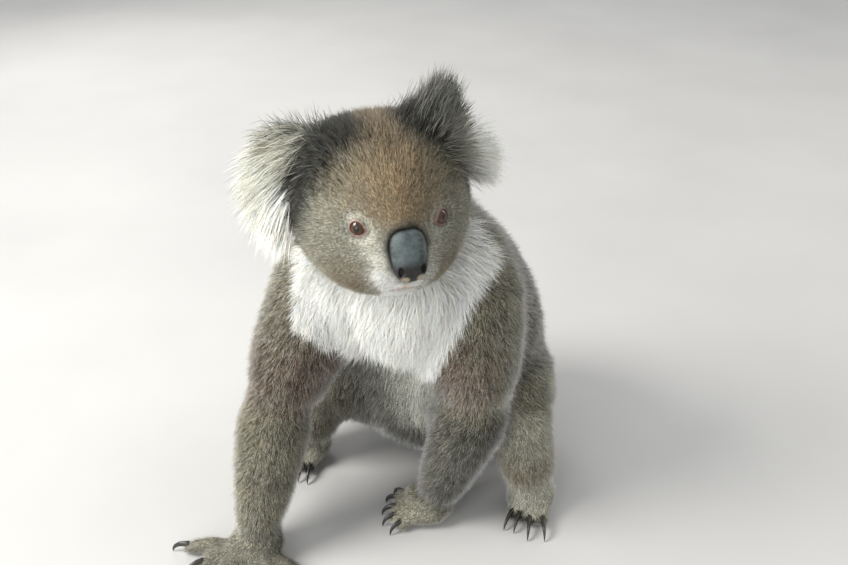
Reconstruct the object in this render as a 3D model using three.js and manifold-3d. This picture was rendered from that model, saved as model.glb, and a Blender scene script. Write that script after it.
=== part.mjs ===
// A life-size female koala sitting on the ground, propped on both arms, with her head turned to
// her left. Millimetres, +Z up. She faces -Y, so her left side is +X, and the origin lies on the
// floor under the middle of her. Every solid follows the outer surface of the coat.
import * as THREE from "three";
import { mergeVertices } from "three/addons/utils/BufferGeometryUtils.js";
import Module from "manifold-3d";

const wasm = await Module();
wasm.setup();

const LEFT = 1;
const RIGHT = -1;

// ---- Driving sizes
const CLEARANCE = 0.35; // between bodies that touch
const HEAD_HALF = { wide: 76, long: 71, high: 71 };
const HEAD_CENTRE = [0, 0, 378];
const HEAD_TURN = 36; // degrees to her left of the way the trunk faces
const EYE = { radius: 8.2, aside: 31.5, forward: 58.5, up: 4.6 };
const NOSE = { halfWide: 14.7, halfHigh: 21.2, halfDeep: 9, lean: 15, roll: 3 };
const NOSE_CENTRE = [2, -80, -15.3];

// The ears are held differently: her left one stands up, her right one hangs outward. Each
// fringe lengthens the fan by `more` around the direction `towards`, 0 outward and 90 up.
const EAR = { thick: 14, radius: 38, cup: 9 };
const EARS = {
  left: {
    side: LEFT,
    at: [66, 13, 46],
    swivel: 30,
    lean: 22,
    roll: -2,
    fringe: [
      { towards: 97, more: 25, spread: 30 },
      { towards: -22, more: 14, spread: 34 },
    ],
  },
  right: {
    side: RIGHT,
    at: [64, 8, 38],
    swivel: 32,
    lean: 12,
    roll: 12,
    fringe: [
      { towards: 85, more: 8, spread: 40 },
      { towards: -50, more: 24, spread: 36 },
    ],
  },
};

// Half thicknesses of the limbs with their coat, and the joints of the pose as [x, y, z].
const ARM = { shoulder: 52, aboveElbow: 43, elbow: 39, forearm: 34, wrist: 27 };
const ARMS = {
  left: {
    side: LEFT,
    shoulder: [68, 62, 266],
    elbow: [81, 42, 150],
    wrist: [48, 34, 46],
    palm: { at: [38, 34, 21], ahead: 199 },
    fan: [34, 18, -2, -18, -34],
    reach: [26, 30, 32, 33, 30],
    clawShape: { out: 9, fall: 8.5 },
  },
  right: {
    side: RIGHT,
    shoulder: [-70, 34, 264],
    elbow: [-103, -20, 152],
    wrist: [-110, -66, 46],
    palm: { at: [-111, -70, 21], ahead: 268 },
    fan: [74, 44, -20, -46, -74],
    reach: [50, 42, 42, 45, 54],
    clawShape: { out: 12, fall: 8.5 },
  },
};
const LEG = { hip: 74, thigh: 62, knee: 42, calf: 35, ankle: 28 };
const LEGS = {
  left: { side: LEFT, hip: [70, 172, 86], knee: [108, 98, 118], ankle: [132, 80, 36] },
  right: { side: RIGHT, hip: [-62, 172, 86], knee: [-100, 98, 118], ankle: [-122, 80, 36] },
};
const DIGIT_RADIUS = 8.2; // with the coat of a digit
const HAND = {
  root: { wide: 16, ahead: 12 },
  radius: [8, 8.2, 8.2, 8.2, 8],
  height: -12.5,
};
const FOOT = {
  fan: [78, 15, 7, -4, -16],
  root: { wide: 36, ahead: 2 },
  reach: [16, 28, 28, 31, 29],
  radius: [8.5, 6.8, 6.8, 8.2, 8.2],
  height: -7,
};
const CLAW = { halfWide: 3.2, halfDeep: 4.2, root: 4, arch: 1.5, tip: 0.16 };
const FOOT_CLAW = { out: 19, fall: 9.5 };

const SIDEWAYS = new THREE.Vector3(1, 0, 0);
const radians = THREE.MathUtils.degToRad;
const vec = (p) => new THREE.Vector3(...p);
const mix = (a, b, t) => a.map((v, i) => v + (b[i] - v) * t);

// ---- Solids
function weld(geometry) {
  const bare = new THREE.BufferGeometry();
  bare.setAttribute("position", geometry.getAttribute("position").clone());
  if (geometry.index) bare.setIndex(geometry.index.clone());
  return mergeVertices(bare, 1e-3);
}

// A solid whose surface stands `grow` outside the geometry's.
function solid(geometry, grow = 0) {
  const mesh = weld(geometry);
  const position = mesh.getAttribute("position");
  if (grow) {
    mesh.computeVertexNormals();
    const normal = mesh.getAttribute("normal");
    for (let i = 0; i < position.count; i++) {
      position.setXYZ(
        i,
        position.getX(i) + grow * normal.getX(i),
        position.getY(i) + grow * normal.getY(i),
        position.getZ(i) + grow * normal.getZ(i),
      );
    }
  }
  return new wasm.Manifold(
    new wasm.Mesh({
      numProp: 3,
      vertProperties: new Float32Array(position.array),
      triVerts: new Uint32Array(mesh.index.array),
    }),
  );
}

const joined = (geometries, grow = 0) =>
  geometries.map((g) => solid(g, grow)).reduce((a, b) => a.add(b));

function largest(body) {
  return body.decompose().sort((a, b) => b.volume() - a.volume())[0];
}

// Everything under the floor is cut away, which leaves small flats to rest on.
const ROOM = 2000;
const aboveFloor = solid(new THREE.BoxGeometry(ROOM, ROOM, ROOM).translate(0, 0, ROOM / 2));

// A closed body of oval rings along a smooth curve. Each station holds its centre x, y, z, its
// half width along `across`, and its half depths on the two sides: first the front of a body
// that is listed from the top down, or the underside of one listed from the heel on.
function loft(stations, { rings = 10, sides = 12, across = SIDEWAYS, blunt = 0.3 } = {}) {
  const spine = new THREE.CatmullRomCurve3(stations.map((s) => vec(s.slice(0, 3))));
  const girth = new THREE.CatmullRomCurve3(
    stations.map(([, , , wide, front, behind = front]) => vec([wide, front, behind])),
  );
  const places = [];
  for (let i = 0; i <= rings; i++) {
    const u = 0.5 - 0.5 * Math.cos((Math.PI * i) / rings);
    const centre = spine.getPoint(u);
    if (i === 0 || i === rings) {
      places.push(centre);
      continue;
    }
    const nearEnd = Math.max(0, 1 - Math.min(u, 1 - u) / blunt);
    const round = Math.sqrt(1 - nearEnd * nearEnd);
    const along = spine.getTangent(u);
    const side = across.clone().addScaledVector(along, -across.dot(along)).normalize();
    const front = along.clone().cross(side);
    const [wide, ahead, behind] = girth.getPoint(u).toArray();
    for (let j = 0; j < sides; j++) {
      const angle = (2 * Math.PI * j) / sides;
      const deep = Math.sin(angle) > 0 ? ahead : behind;
      places.push(
        centre
          .clone()
          .addScaledVector(side, round * wide * Math.cos(angle))
          .addScaledVector(front, round * deep * Math.sin(angle)),
      );
    }
  }
  const faces = [];
  const last = places.length - 1;
  const at = (ring, j) => 1 + (ring - 1) * sides + (j % sides);
  for (let j = 0; j < sides; j++) {
    faces.push(0, at(1, j + 1), at(1, j));
    faces.push(last, at(rings - 1, j), at(rings - 1, j + 1));
    for (let ring = 1; ring < rings - 1; ring++) {
      faces.push(at(ring, j), at(ring, j + 1), at(ring + 1, j + 1));
      faces.push(at(ring, j), at(ring + 1, j + 1), at(ring + 1, j));
    }
  }
  const geometry = new THREE.BufferGeometry().setFromPoints(places);
  geometry.setIndex(faces);
  return geometry;
}

// A sphere whose every point is moved by shape(direction).
function moulded(across, down, shape) {
  const geometry = weld(new THREE.SphereGeometry(1, across, down).rotateX(Math.PI / 2));
  const position = geometry.getAttribute("position");
  for (let i = 0; i < position.count; i++) {
    const p = shape(new THREE.Vector3().fromBufferAttribute(position, i).normalize());
    position.setXYZ(i, p.x, p.y, p.z);
  }
  return geometry;
}

// The same body on her other side: x changes sign, and each face turns round.
function mirrored(geometry) {
  const turned = weld(geometry).scale(-1, 1, 1);
  const index = turned.index.array;
  for (let i = 0; i < index.length; i += 3) {
    [index[i + 1], index[i + 2]] = [index[i + 2], index[i + 1]];
  }
  return turned;
}

// ---- The head, in a frame of its own: x to her left, -y ahead, z up
const headPlace = new THREE.Matrix4()
  .makeTranslation(...HEAD_CENTRE)
  .multiply(new THREE.Matrix4().makeRotationZ(radians(HEAD_TURN)));

// Swellings and hollows of the head: the way they point, their height, and their spread in radians.
const pair = (x, y, z, height, spread) => [
  [x, y, z, height, spread],
  [-x, y, z, height, spread],
];
const LOBES = [
  [0, -1, -0.3, 13, 0.36], // muzzle
  [0, -0.8, -0.62, 3.5, 0.28], // chin
  ...pair(0.38, -0.65, -0.66, 7, 0.28), // jaws
  [0, -0.75, 0.7, 3, 0.35], // forehead
  ...pair(0.75, -0.5, -0.5, 5, 0.4), // cheeks
  ...pair(0.47, -0.88, 0.07, -5, 0.17), // eye hollows
  ...pair(0.62, 0.1, 0.75, 6, 0.35), // ear roots
];

function headSurface(direction) {
  const { wide, long, high } = HEAD_HALF;
  let radius = 1 / Math.hypot(direction.x / wide, direction.y / long, direction.z / high);
  for (const [x, y, z, height, spread] of LOBES) {
    const angle = direction.angleTo(vec([x, y, z]));
    radius += height * Math.exp(-0.5 * (angle / spread) ** 2);
  }
  return direction.clone().multiplyScalar(radius);
}

const head = moulded(24, 17, headSurface).applyMatrix4(headPlace);

const eye = (side) =>
  new THREE.SphereGeometry(EYE.radius, 10, 8)
    .translate(side * EYE.aside, -EYE.forward, EYE.up)
    .applyMatrix4(headPlace);

// The bare leathery nose: a tall rounded shield, a little narrower below.
const nose = moulded(14, 9, (d) => {
  const squarish = 1 / (d.x ** 4 + d.y ** 4 + d.z ** 4) ** 0.1;
  const flare = 1 + 0.07 * d.z;
  return new THREE.Vector3(
    NOSE.halfWide * flare * squarish * d.x,
    NOSE.halfDeep * d.y,
    NOSE.halfHigh * squarish * d.z,
  );
})
  .rotateX(radians(-NOSE.lean))
  .rotateY(radians(-NOSE.roll))
  .translate(...NOSE_CENTRE)
  .applyMatrix4(headPlace);

// One ear with its fringe: a cupped fan that faces ahead and outward, made as her left one.
function ear({ side, at, swivel, lean, roll, fringe }) {
  const fan = moulded(18, 8, (d) => {
    const turn = THREE.MathUtils.radToDeg(Math.atan2(d.z, d.x));
    const rim = Math.hypot(d.x, d.z);
    const reach = fringe.reduce(
      (sum, { towards, more, spread }) =>
        sum + more * Math.exp(-0.5 * ((turn - towards) / spread) ** 2),
      EAR.radius,
    );
    return new THREE.Vector3(
      reach * d.x,
      EAR.thick * d.y * (1 - 0.4 * rim) - EAR.cup * rim * rim,
      reach * d.z,
    );
  });
  fan
    .rotateY(radians(roll))
    .rotateX(radians(-lean))
    .rotateZ(radians(swivel))
    .translate(...at);
  return (side === LEFT ? fan : mirrored(fan)).applyMatrix4(headPlace);
}

// ---- The neck, the chest with its bib, and the trunk, each from the top down
const neck = loft(
  [
    [6, -2, 372, 50, 46],
    [2, 20, 346, 68, 58],
    [2, 52, 316, 80, 70],
    [3, 84, 280, 90, 76, 70],
    [4, 104, 250, 84, 70, 70],
  ],
  { rings: 7 },
);

const chest = loft(
  [
    [8, 14, 338, 56, 30, 40],
    [8, 14, 308, 68, 42, 40],
    [10, 20, 272, 66, 46, 40],
    [14, 28, 232, 54, 40, 36],
    [20, 38, 188, 30, 22, 26],
  ],
  { rings: 8, sides: 12 },
);

const trunk = loft(
  [
    [3, 48, 334, 62, 50, 50],
    [3, 70, 296, 90, 70, 76],
    [4, 100, 240, 110, 86, 98],
    [4, 132, 176, 122, 92, 113],
    [4, 158, 112, 120, 96, 112],
    [4, 172, 52, 106, 92, 96],
    [4, 176, -6, 84, 82, 74],
  ],
  { rings: 15, sides: 20, blunt: 0.22 },
);

// ---- Limbs
// The shoulder end starts inside the trunk, so the arm flows out of the side of the neck.
function upperArm({ shoulder, elbow }) {
  const [x, y, z] = shoulder;
  return loft([
    [0.4 * x, y + 20, z + 44, ARM.shoulder - 14, ARM.shoulder],
    [0.85 * x, y + 6, z + 18, ARM.shoulder, ARM.shoulder + 6],
    [...mix(shoulder, elbow, 0.35), ARM.shoulder - 3, ARM.shoulder + 3],
    [...mix(shoulder, elbow, 0.75), ARM.aboveElbow, ARM.aboveElbow + 3],
    [...mix(shoulder, elbow, 1.2), ARM.elbow - 4, ARM.elbow - 2],
  ]);
}

function forearm({ elbow, wrist }) {
  return loft(
    [
      [...mix(elbow, wrist, -0.22), ARM.elbow, ARM.elbow + 2],
      [...mix(elbow, wrist, 0.2), ARM.elbow - 1, ARM.elbow],
      [...mix(elbow, wrist, 0.6), ARM.forearm, ARM.forearm],
      [...mix(elbow, wrist, 0.95), ARM.wrist, ARM.wrist],
      [...mix(elbow, wrist, 1.22), ARM.wrist - 1, ARM.wrist - 1],
    ],
    { rings: 9, blunt: 0.22 },
  );
}

function thigh({ hip, knee }) {
  return loft([
    [...mix(hip, knee, -0.25), LEG.hip - 14, LEG.hip],
    [...mix(hip, knee, 0.15), LEG.hip - 9, LEG.hip + 4],
    [...mix(hip, knee, 0.55), LEG.thigh - 6, LEG.thigh + 6],
    [...mix(hip, knee, 1.0), LEG.knee, LEG.knee + 5],
    [...mix(hip, knee, 1.3), LEG.knee - 12, LEG.knee - 10],
  ]);
}

function shank({ knee, ankle }) {
  return loft(
    [
      [...mix(knee, ankle, -0.2), LEG.knee - 6, LEG.knee - 4],
      [...mix(knee, ankle, 0.35), LEG.calf, LEG.calf + 4],
      [...mix(knee, ankle, 0.8), LEG.ankle + 3, LEG.ankle + 5],
      [...mix(knee, ankle, 1.2), LEG.ankle - 2, LEG.ankle],
    ],
    { rings: 9, blunt: 0.25 },
  );
}

// A point at a distance and height along a digit, which leaves its root at an angle in degrees
// from straight ahead, in a paw's frame: x to its right, y ahead, z up.
function alongDigit({ angle, root }, distance, height) {
  const turn = radians(angle);
  return [root[0] + distance * Math.sin(turn), root[1] + distance * Math.cos(turn), height];
}

const acrossDigit = ({ angle }) => vec([Math.cos(radians(angle)), -Math.sin(radians(angle)), 0]);

function digit(d) {
  const { reach, radius, height } = d;
  return loft(
    [
      [...alongDigit(d, -10, height + 3), radius + 1, radius + 1],
      [...alongDigit(d, 0.4 * reach, height + 5), radius + 0.5, radius + 0.5],
      [...alongDigit(d, 0.75 * reach, height + 1), radius, radius],
      [...alongDigit(d, reach, height - 5), radius - 1.5, radius - 1.5],
    ],
    { rings: 5, sides: 6, across: acrossDigit(d), blunt: 0.25 },
  );
}

// A curved claw that leaves the end of a digit and bends down to the floor.
function claw(d, { out, fall }) {
  const { reach, radius, height } = d;
  const scale = radius / DIGIT_RADIUS;
  const station = (t) => {
    const taper = 1 - (1 - CLAW.tip) * t;
    return [
      ...alongDigit(
        d,
        reach - CLAW.root + scale * (out + CLAW.root) * Math.sin((Math.PI / 2) * t),
        height + CLAW.arch * Math.sin(Math.PI * t) - fall * (1 - Math.cos((Math.PI / 2) * t)),
      ),
      scale * CLAW.halfWide * taper,
      scale * CLAW.halfDeep * taper,
    ];
  };
  return loft([0, 0.35, 0.7, 1].map(station), {
    rings: 4,
    sides: 5,
    across: acrossDigit(d),
    blunt: 0.2,
  });
}

// The roots of the digits spread by a paw's `root.wide` for each WIDE_OPEN degrees of opening.
const WIDE_OPEN = 60;

// A paw turned `ahead` degrees from +X about Z. Angles in a fan open towards her midline.
function paw({ at, ahead, side, sole, fan, root, reach, radius, height, clawShape }) {
  const placed = new THREE.Matrix4()
    .makeTranslation(...at)
    .multiply(new THREE.Matrix4().makeRotationZ(radians(ahead - 90)));
  const digits = fan.map((opening, i) => ({
    angle: side * opening,
    root: [(side * root.wide * opening) / WIDE_OPEN, root.ahead],
    reach: reach[i],
    radius: radius[i],
    height,
  }));
  return {
    flesh: [sole, ...digits.map(digit)].map((g) => g.applyMatrix4(placed)),
    claws: digits.map((d) => claw(d, clawShape).applyMatrix4(placed)),
  };
}

// Digits 1 and 2 oppose the other three.
function hand({ side, palm, fan, reach, clawShape }) {
  return paw({
    ...palm,
    side,
    sole: loft(
      [
        [0, -24, 2, 22, 19],
        [0, 0, -3, 27, 20],
        [0, 18, -6, 27, 17],
        [0, 30, -8, 21, 13],
      ],
      { rings: 6, sides: 10 },
    ),
    ...HAND,
    fan,
    reach,
    clawShape,
  });
}

// The first toe stands off and has no claw; the next two are slim and lie close together.
function foot({ side, ankle }) {
  const made = paw({
    at: [ankle[0] + side * 2, ankle[1] - 2, 16],
    ahead: 270 + side * 3,
    side,
    sole: loft(
      [
        [0, -28, 3, 21, 18],
        [0, -8, 3, 25, 22],
        [0, 10, 1, 25, 18],
        [0, 24, -2, 21, 14],
      ],
      { rings: 6, sides: 10 },
    ),
    ...FOOT,
    clawShape: FOOT_CLAW,
  });
  return { flesh: made.flesh, claws: made.claws.slice(1) };
}

// ---- Materials
const finish = (color, roughness) =>
  new THREE.MeshStandardMaterial({ color, roughness, metalness: 0 });
const greyCoat = finish(0x74705f, 0.9);
const paleCoat = finish(0xc8c9b8, 0.9);
const eyeGlass = finish(0x4a2a1a, 0.15);
const noseLeather = finish(0x3d4544, 0.5);
const clawHorn = finish(0x2a2725, 0.4);

// ---- Assembly: each body is cut clear of the bodies named in carvedBy
const body = new THREE.Group();

function place(name, geometries, material, { carvedBy = [] } = {}) {
  let made = joined(geometries).intersect(aboveFloor);
  for (const other of carvedBy) {
    made = made.subtract(joined(other, CLEARANCE));
  }
  const { vertProperties, triVerts, numProp } = largest(made).getMesh();
  const places = new Float32Array((vertProperties.length / numProp) * 3);
  for (let i = 0; i < places.length / 3; i++) {
    places.set(vertProperties.subarray(i * numProp, i * numProp + 3), 3 * i);
  }
  const geometry = new THREE.BufferGeometry();
  geometry.setAttribute("position", new THREE.BufferAttribute(places, 3));
  geometry.setIndex(new THREE.BufferAttribute(new Uint32Array(triVerts), 1));
  geometry.computeVertexNormals();
  const mesh = new THREE.Mesh(geometry, material);
  mesh.name = name;
  body.add(mesh);
}

const eyes = [[eye(LEFT)], [eye(RIGHT)]];
const ears = [[ear(EARS.left)], [ear(EARS.right)]];
place("eye_left", eyes[0], eyeGlass);
place("eye_right", eyes[1], eyeGlass);
place("nose", [nose], noseLeather);
place("head", [head], greyCoat, { carvedBy: [...eyes, [nose]] });
place("ear_left", ears[0], paleCoat, { carvedBy: [[head]] });
place("ear_right", ears[1], paleCoat, { carvedBy: [[head]] });
place("trunk", [trunk], greyCoat, { carvedBy: [[head]] });
place("neck", [neck], greyCoat, { carvedBy: [[head], [trunk], ...ears] });
place("chest", [chest], paleCoat, { carvedBy: [[head], [trunk], [neck]] });

const coreOfBody = [[trunk], [neck], [chest], [head]];
const limbsMade = [];

for (const [name, arm] of Object.entries(ARMS)) {
  const upper = [upperArm(arm)];
  const lower = [forearm(arm)];
  const { flesh, claws } = hand(arm);
  place("upper_arm_" + name, upper, greyCoat, { carvedBy: [...coreOfBody, ...ears] });
  place("forearm_" + name, lower, greyCoat, { carvedBy: [[trunk], [chest], upper] });
  place("hand_" + name, flesh, greyCoat, { carvedBy: [lower] });
  claws.forEach((c, i) =>
    place(`claw_hand_${name}_${i + 1}`, [c], clawHorn, { carvedBy: [flesh] }),
  );
  limbsMade.push(upper, lower, flesh);
}

for (const [name, leg] of Object.entries(LEGS)) {
  const upper = [thigh(leg)];
  const lower = [shank(leg)];
  const { flesh, claws } = foot(leg);
  place("thigh_" + name, upper, greyCoat, { carvedBy: [[trunk], ...limbsMade] });
  place("shank_" + name, lower, greyCoat, { carvedBy: [[trunk], upper, ...limbsMade] });
  place("foot_" + name, flesh, greyCoat, { carvedBy: [[trunk], upper, lower, ...limbsMade] });
  claws.forEach((c, i) =>
    place(`claw_foot_${name}_${i + 2}`, [c], clawHorn, { carvedBy: [flesh] }),
  );
}

// The origin lies on the floor under the middle of the body.
const extent = new THREE.Box3().setFromObject(body);
const middle = extent.getCenter(new THREE.Vector3());
body.position.set(-middle.x, -middle.y, -extent.min.z);

const koala = new THREE.Group();
koala.add(body);

export default koala;
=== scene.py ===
"""A life-size female koala, sitting propped on both arms with her head turned to her left.

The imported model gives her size, her pose and where each part lies. One skin is drawn under all of
her flesh, and her coat grows out of it as locks that are each a small closed body. Her eyes, nose
and claws are pieces of their own. Metres, +Z up; she faces -Y, so her left side is +X.
"""

import math

import bmesh
import bpy
import numpy as np
from mathutils import Euler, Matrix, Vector
from mathutils.bvhtree import BVHTree
from mathutils.kdtree import KDTree


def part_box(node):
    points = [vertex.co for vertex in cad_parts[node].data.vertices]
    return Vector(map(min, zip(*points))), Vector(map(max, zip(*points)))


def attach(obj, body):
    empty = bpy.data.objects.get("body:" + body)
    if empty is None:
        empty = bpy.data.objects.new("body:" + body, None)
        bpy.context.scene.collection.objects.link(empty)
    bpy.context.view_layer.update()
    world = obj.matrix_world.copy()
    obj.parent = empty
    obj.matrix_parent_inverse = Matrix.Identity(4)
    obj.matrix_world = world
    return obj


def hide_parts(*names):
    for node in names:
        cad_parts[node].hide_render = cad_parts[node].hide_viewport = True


bl_info = {
    "name": "Koala Maker",
    "version": (1, 0, 0),
    "blender": (4, 5, 0),
    "location": "View3D > Sidebar > Koala",
    "description": "Builds a life-size still koala with a mesh coat over a packed model",
    "category": "Add Mesh",
}

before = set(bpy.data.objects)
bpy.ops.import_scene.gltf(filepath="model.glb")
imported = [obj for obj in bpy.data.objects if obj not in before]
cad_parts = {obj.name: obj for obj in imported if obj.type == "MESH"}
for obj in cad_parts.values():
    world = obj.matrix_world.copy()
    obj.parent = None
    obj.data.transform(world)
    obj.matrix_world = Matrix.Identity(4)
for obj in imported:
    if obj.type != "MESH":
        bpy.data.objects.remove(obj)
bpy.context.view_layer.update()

MM = 0.001
UP = np.array([0.0, 0.0, 1.0])
SIDES = {"left": 1, "right": -1}
BODY = "root"
BAKE_MAP = "OFBake"
COLOUR = "coat_colour"
ALONG = "along_lock"
MOIST = "moist"

LIMBS = ("upper_arm_", "forearm_", "hand_", "thigh_", "shank_", "foot_")
FLESH = ["head", "ear_left", "ear_right", "neck", "chest", "trunk"]
FLESH += [limb + side for side in SIDES for limb in LIMBS]


# ---------------------------------------------------------------- small sums

def unit(v):
    """Vectors at unit length."""
    return v / np.maximum(np.linalg.norm(v, axis=-1, keepdims=True), 1e-12)


def smooth(t):
    """Rises gently from 0 to 1 as `t` does."""
    t = np.clip(t, 0.0, 1.0)
    return t * t * (3.0 - 2.0 * t)


def bell(x, spread):
    """1 at nought, falling away on both sides."""
    return np.exp(-0.5 * (x / spread) ** 2)


def blend(a, b, amount):
    """Rows of `a` drawn towards `b`, each by its own amount."""
    return a + (b - a) * np.asarray(amount)[..., None]


def flatten_to(v, normal):
    """The part of each vector that lies in the plane across its normal, at unit length."""
    return unit(v - (v * normal).sum(-1, keepdims=True) * normal)


def middle(node):
    """The middle of a CAD node's box."""
    low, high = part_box(node)
    return np.array((low + high) / 2)


def claws_of(limb):
    """The claw nodes of a hand or a foot."""
    return [n for n in sorted(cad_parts) if n.startswith("claw_" + limb + "_")]


class Head:
    """The head's own frame, found from the eyes: `left`, `ahead` and `UP`."""

    behind_eyes = 0.9286  # how far behind and below the eyes its middle lies, in eye spacings
    below_eyes = 0.073
    eyes = {s: middle("eye_" + s) for s in SIDES}
    spacing = np.linalg.norm(eyes["left"] - eyes["right"])
    left = unit(eyes["left"] - eyes["right"])
    ahead = np.cross(left, UP)
    between = (eyes["left"] + eyes["right"]) / 2
    centre = between - ahead * behind_eyes * spacing - UP * below_eyes * spacing
    nose = middle("nose")

    @classmethod
    def local(cls, points):
        """Points as millimetres to her left, ahead and up of the middle of the head."""
        away = (points - cls.centre) / MM
        return away @ cls.left, away @ cls.ahead, away[..., 2]

    @classmethod
    def place(cls, side, out, ahead, up):
        """The point so many millimetres out on one side, ahead and up of the head's middle."""
        return cls.centre + MM * (SIDES[side] * out * cls.left + ahead * cls.ahead + up * UP)


# ---------------------------------------------------------------- settings

def length_setting(name, description, default):
    """A setting that holds a length."""
    return bpy.props.FloatProperty(
        name=name, description=description, default=default, min=0.0, unit="LENGTH"
    )


def colour_setting(name, description, default):
    """A setting that holds a colour."""
    return bpy.props.FloatVectorProperty(
        name=name, description=description, default=default, subtype="COLOR", min=0.0, max=1.0
    )


class KoalaSizes(bpy.types.PropertyGroup):
    """Sizes and numbers of the skin and the coat"""

    voxel: length_setting("Skin grid", "Spacing of the grid that the skin is drawn on", 0.003)
    lock_width: length_setting("Lock width", "Widest part of a lock on the body", 0.00078)
    bib_length: length_setting("Bib length", "Length of the hair on the breast", 0.026)
    tuft_spacing: length_setting("Tuft spacing", "Distance between tufts of locks", 0.0055)
    plush_count: bpy.props.IntProperty(
        name="Plush", description="How many short straight locks the coat has", default=254000,
        min=1000,
    )
    guard_count: bpy.props.IntProperty(
        name="Guard hair", description="How many long bent locks lie over the plush", default=54000,
        min=100,
    )
    wisp_count: bpy.props.IntProperty(
        name="Wisps", description="How many long wisps each ear has", default=6200, min=100
    )


class KoalaColours(bpy.types.PropertyGroup):
    """Colours of the coat, the eyes, the nose and the claws"""

    grey: colour_setting("Grey", "Back, flanks and limbs", (0.150, 0.137, 0.087))
    dark_grey: colour_setting("Dark grey", "Shaded tufts of the crown", (0.058, 0.058, 0.047))
    charcoal: colour_setting("Charcoal", "Roots and backs of the ears", (0.018, 0.018, 0.015))
    brown: colour_setting("Brown", "Crown, brow and inner arms", (0.285, 0.202, 0.108))
    cheek: colour_setting("Cheek grey", "Cheeks and jaws", (0.245, 0.237, 0.183))
    cream: colour_setting("Cream", "Sides of the muzzle and rings of the eyes", (0.74, 0.73, 0.62))
    white: colour_setting("White", "Bib, chin and ear fringe", (0.95, 0.95, 0.87))
    silver: colour_setting("Silver", "Tips of the frosted hairs", (0.58, 0.58, 0.50))
    paw: colour_setting("Paw", "Hands and feet", (0.33, 0.315, 0.245))
    lid: colour_setting("Lid", "Bare rims of the eyes and lips", (0.44, 0.32, 0.265))
    iris: colour_setting("Iris", "Iris of the eyes", (0.032, 0.014, 0.008))
    nose: colour_setting("Nose", "Leather of the nose", (0.053, 0.068, 0.068))
    claw: colour_setting("Claw", "Horn of the claws", (0.035, 0.03, 0.026))


def sizes():
    """The scene's KoalaSizes."""
    return bpy.context.scene.koala_sizes


def tone(name):
    """A colour of the scene's KoalaColours."""
    return np.array(getattr(bpy.context.scene.koala_colours, name))


# ---------------------------------------------------------------- meshes

def mesh_arrays(mesh):
    """The places of a mesh's vertices and its triangles."""
    mesh.calc_loop_triangles()
    places = np.empty(len(mesh.vertices) * 3)
    mesh.vertices.foreach_get("co", places)
    faces = np.empty(len(mesh.loop_triangles) * 3, dtype=np.int32)
    mesh.loop_triangles.foreach_get("vertices", faces)
    return places.reshape(-1, 3), faces.reshape(-1, 3)


def mesh_from(name, places, faces):
    """A smooth triangle mesh."""
    mesh = bpy.data.meshes.new(name)
    mesh.vertices.add(len(places))
    mesh.vertices.foreach_set("co", np.ascontiguousarray(places, dtype=np.float32).ravel())
    mesh.loops.add(faces.size)
    mesh.loops.foreach_set("vertex_index", np.ascontiguousarray(faces, dtype=np.int32).ravel())
    mesh.polygons.add(len(faces))
    mesh.polygons.foreach_set("loop_start", np.arange(0, faces.size, 3, dtype=np.int32))
    mesh.update(calc_edges=True)
    mesh.shade_smooth()
    return mesh


def paint(mesh, name, values):
    """Stores one number or one colour for each vertex."""
    if values.ndim == 1:
        layer = mesh.attributes.new(name, "FLOAT", "POINT")
        layer.data.foreach_set("value", values.astype(np.float32))
        return
    layer = mesh.attributes.new(name, "FLOAT_COLOR", "POINT")
    rgba = np.ones((len(values), 4), dtype=np.float32)
    rgba[:, :3] = values
    layer.data.foreach_set("color", rgba.ravel())


def add_piece(name, mesh, material, replaced=()):
    """A piece of the visual model, riding on the one body."""
    piece = bpy.data.objects.new(name, mesh)
    bpy.context.scene.collection.objects.link(piece)
    mesh.materials.append(material)
    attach(piece, BODY)
    if replaced:
        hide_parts(*replaced)
    return piece


def welded(node):
    """A CAD body's vertices and triangles, with each vertex there once."""
    bm = bmesh.new()
    bm.from_mesh(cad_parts[node].data)
    bmesh.ops.remove_doubles(bm, verts=bm.verts, dist=0.02 * MM)
    bmesh.ops.triangulate(bm, faces=bm.faces)
    places = np.array([v.co for v in bm.verts])
    faces = np.array([[v.index for v in f.verts] for f in bm.faces])
    bm.free()
    return places, faces


def face_normals(places, faces):
    """Each triangle's normal, twice as long as the triangle's area."""
    a, b, c = (places[faces[:, i]] for i in range(3))
    return np.cross(b - a, c - a)


def vertex_normals(places, faces):
    """The surface's normal at each vertex."""
    total = np.zeros_like(places)
    across = face_normals(places, faces)
    for i in range(3):
        for axis in range(3):
            total[:, axis] += np.bincount(faces[:, i], across[:, axis], len(places))
    return unit(total)


def joined(bodies):
    """The places and triangles of several bodies as those of one."""
    starts = np.cumsum([0] + [len(places) for places, _ in bodies])
    return (
        np.concatenate([places for places, _ in bodies]),
        np.concatenate([faces + start for (_, faces), start in zip(bodies, starts)]),
    )


class Neighbours:
    """Averages values over the vertices that share an edge with each vertex."""

    def __init__(self, faces, count):
        pairs = np.concatenate([faces[:, [0, 1]], faces[:, [1, 2]], faces[:, [2, 0]]])
        pairs = np.unique(np.sort(pairs, axis=1), axis=0)
        ends = np.concatenate([pairs, pairs[:, ::-1]])
        ends = ends[np.argsort(ends[:, 0], kind="stable")]
        self.other = ends[:, 1]
        self.number = np.bincount(ends[:, 0], minlength=count)
        self.start = np.concatenate([[0], np.cumsum(self.number)[:-1]])

    def average(self, values):
        """For each vertex, the mean of its neighbours' values."""
        total = np.add.reduceat(values[self.other], self.start, axis=0)
        number = self.number if values.ndim == 1 else self.number[:, None]
        return total / number

    def spread(self, values, rounds, strength=0.5):
        """Lets values run into each other over the surface."""
        for _ in range(rounds):
            values = values + strength * (self.average(values) - values)
        return values

    def relax(self, places, rounds, strength=0.5):
        """Smooths a surface without shrinking it."""
        for _ in range(rounds):
            places = places + strength * (self.average(places) - places)
            places = places - 1.03 * strength * (self.average(places) - places)
        return places


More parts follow.
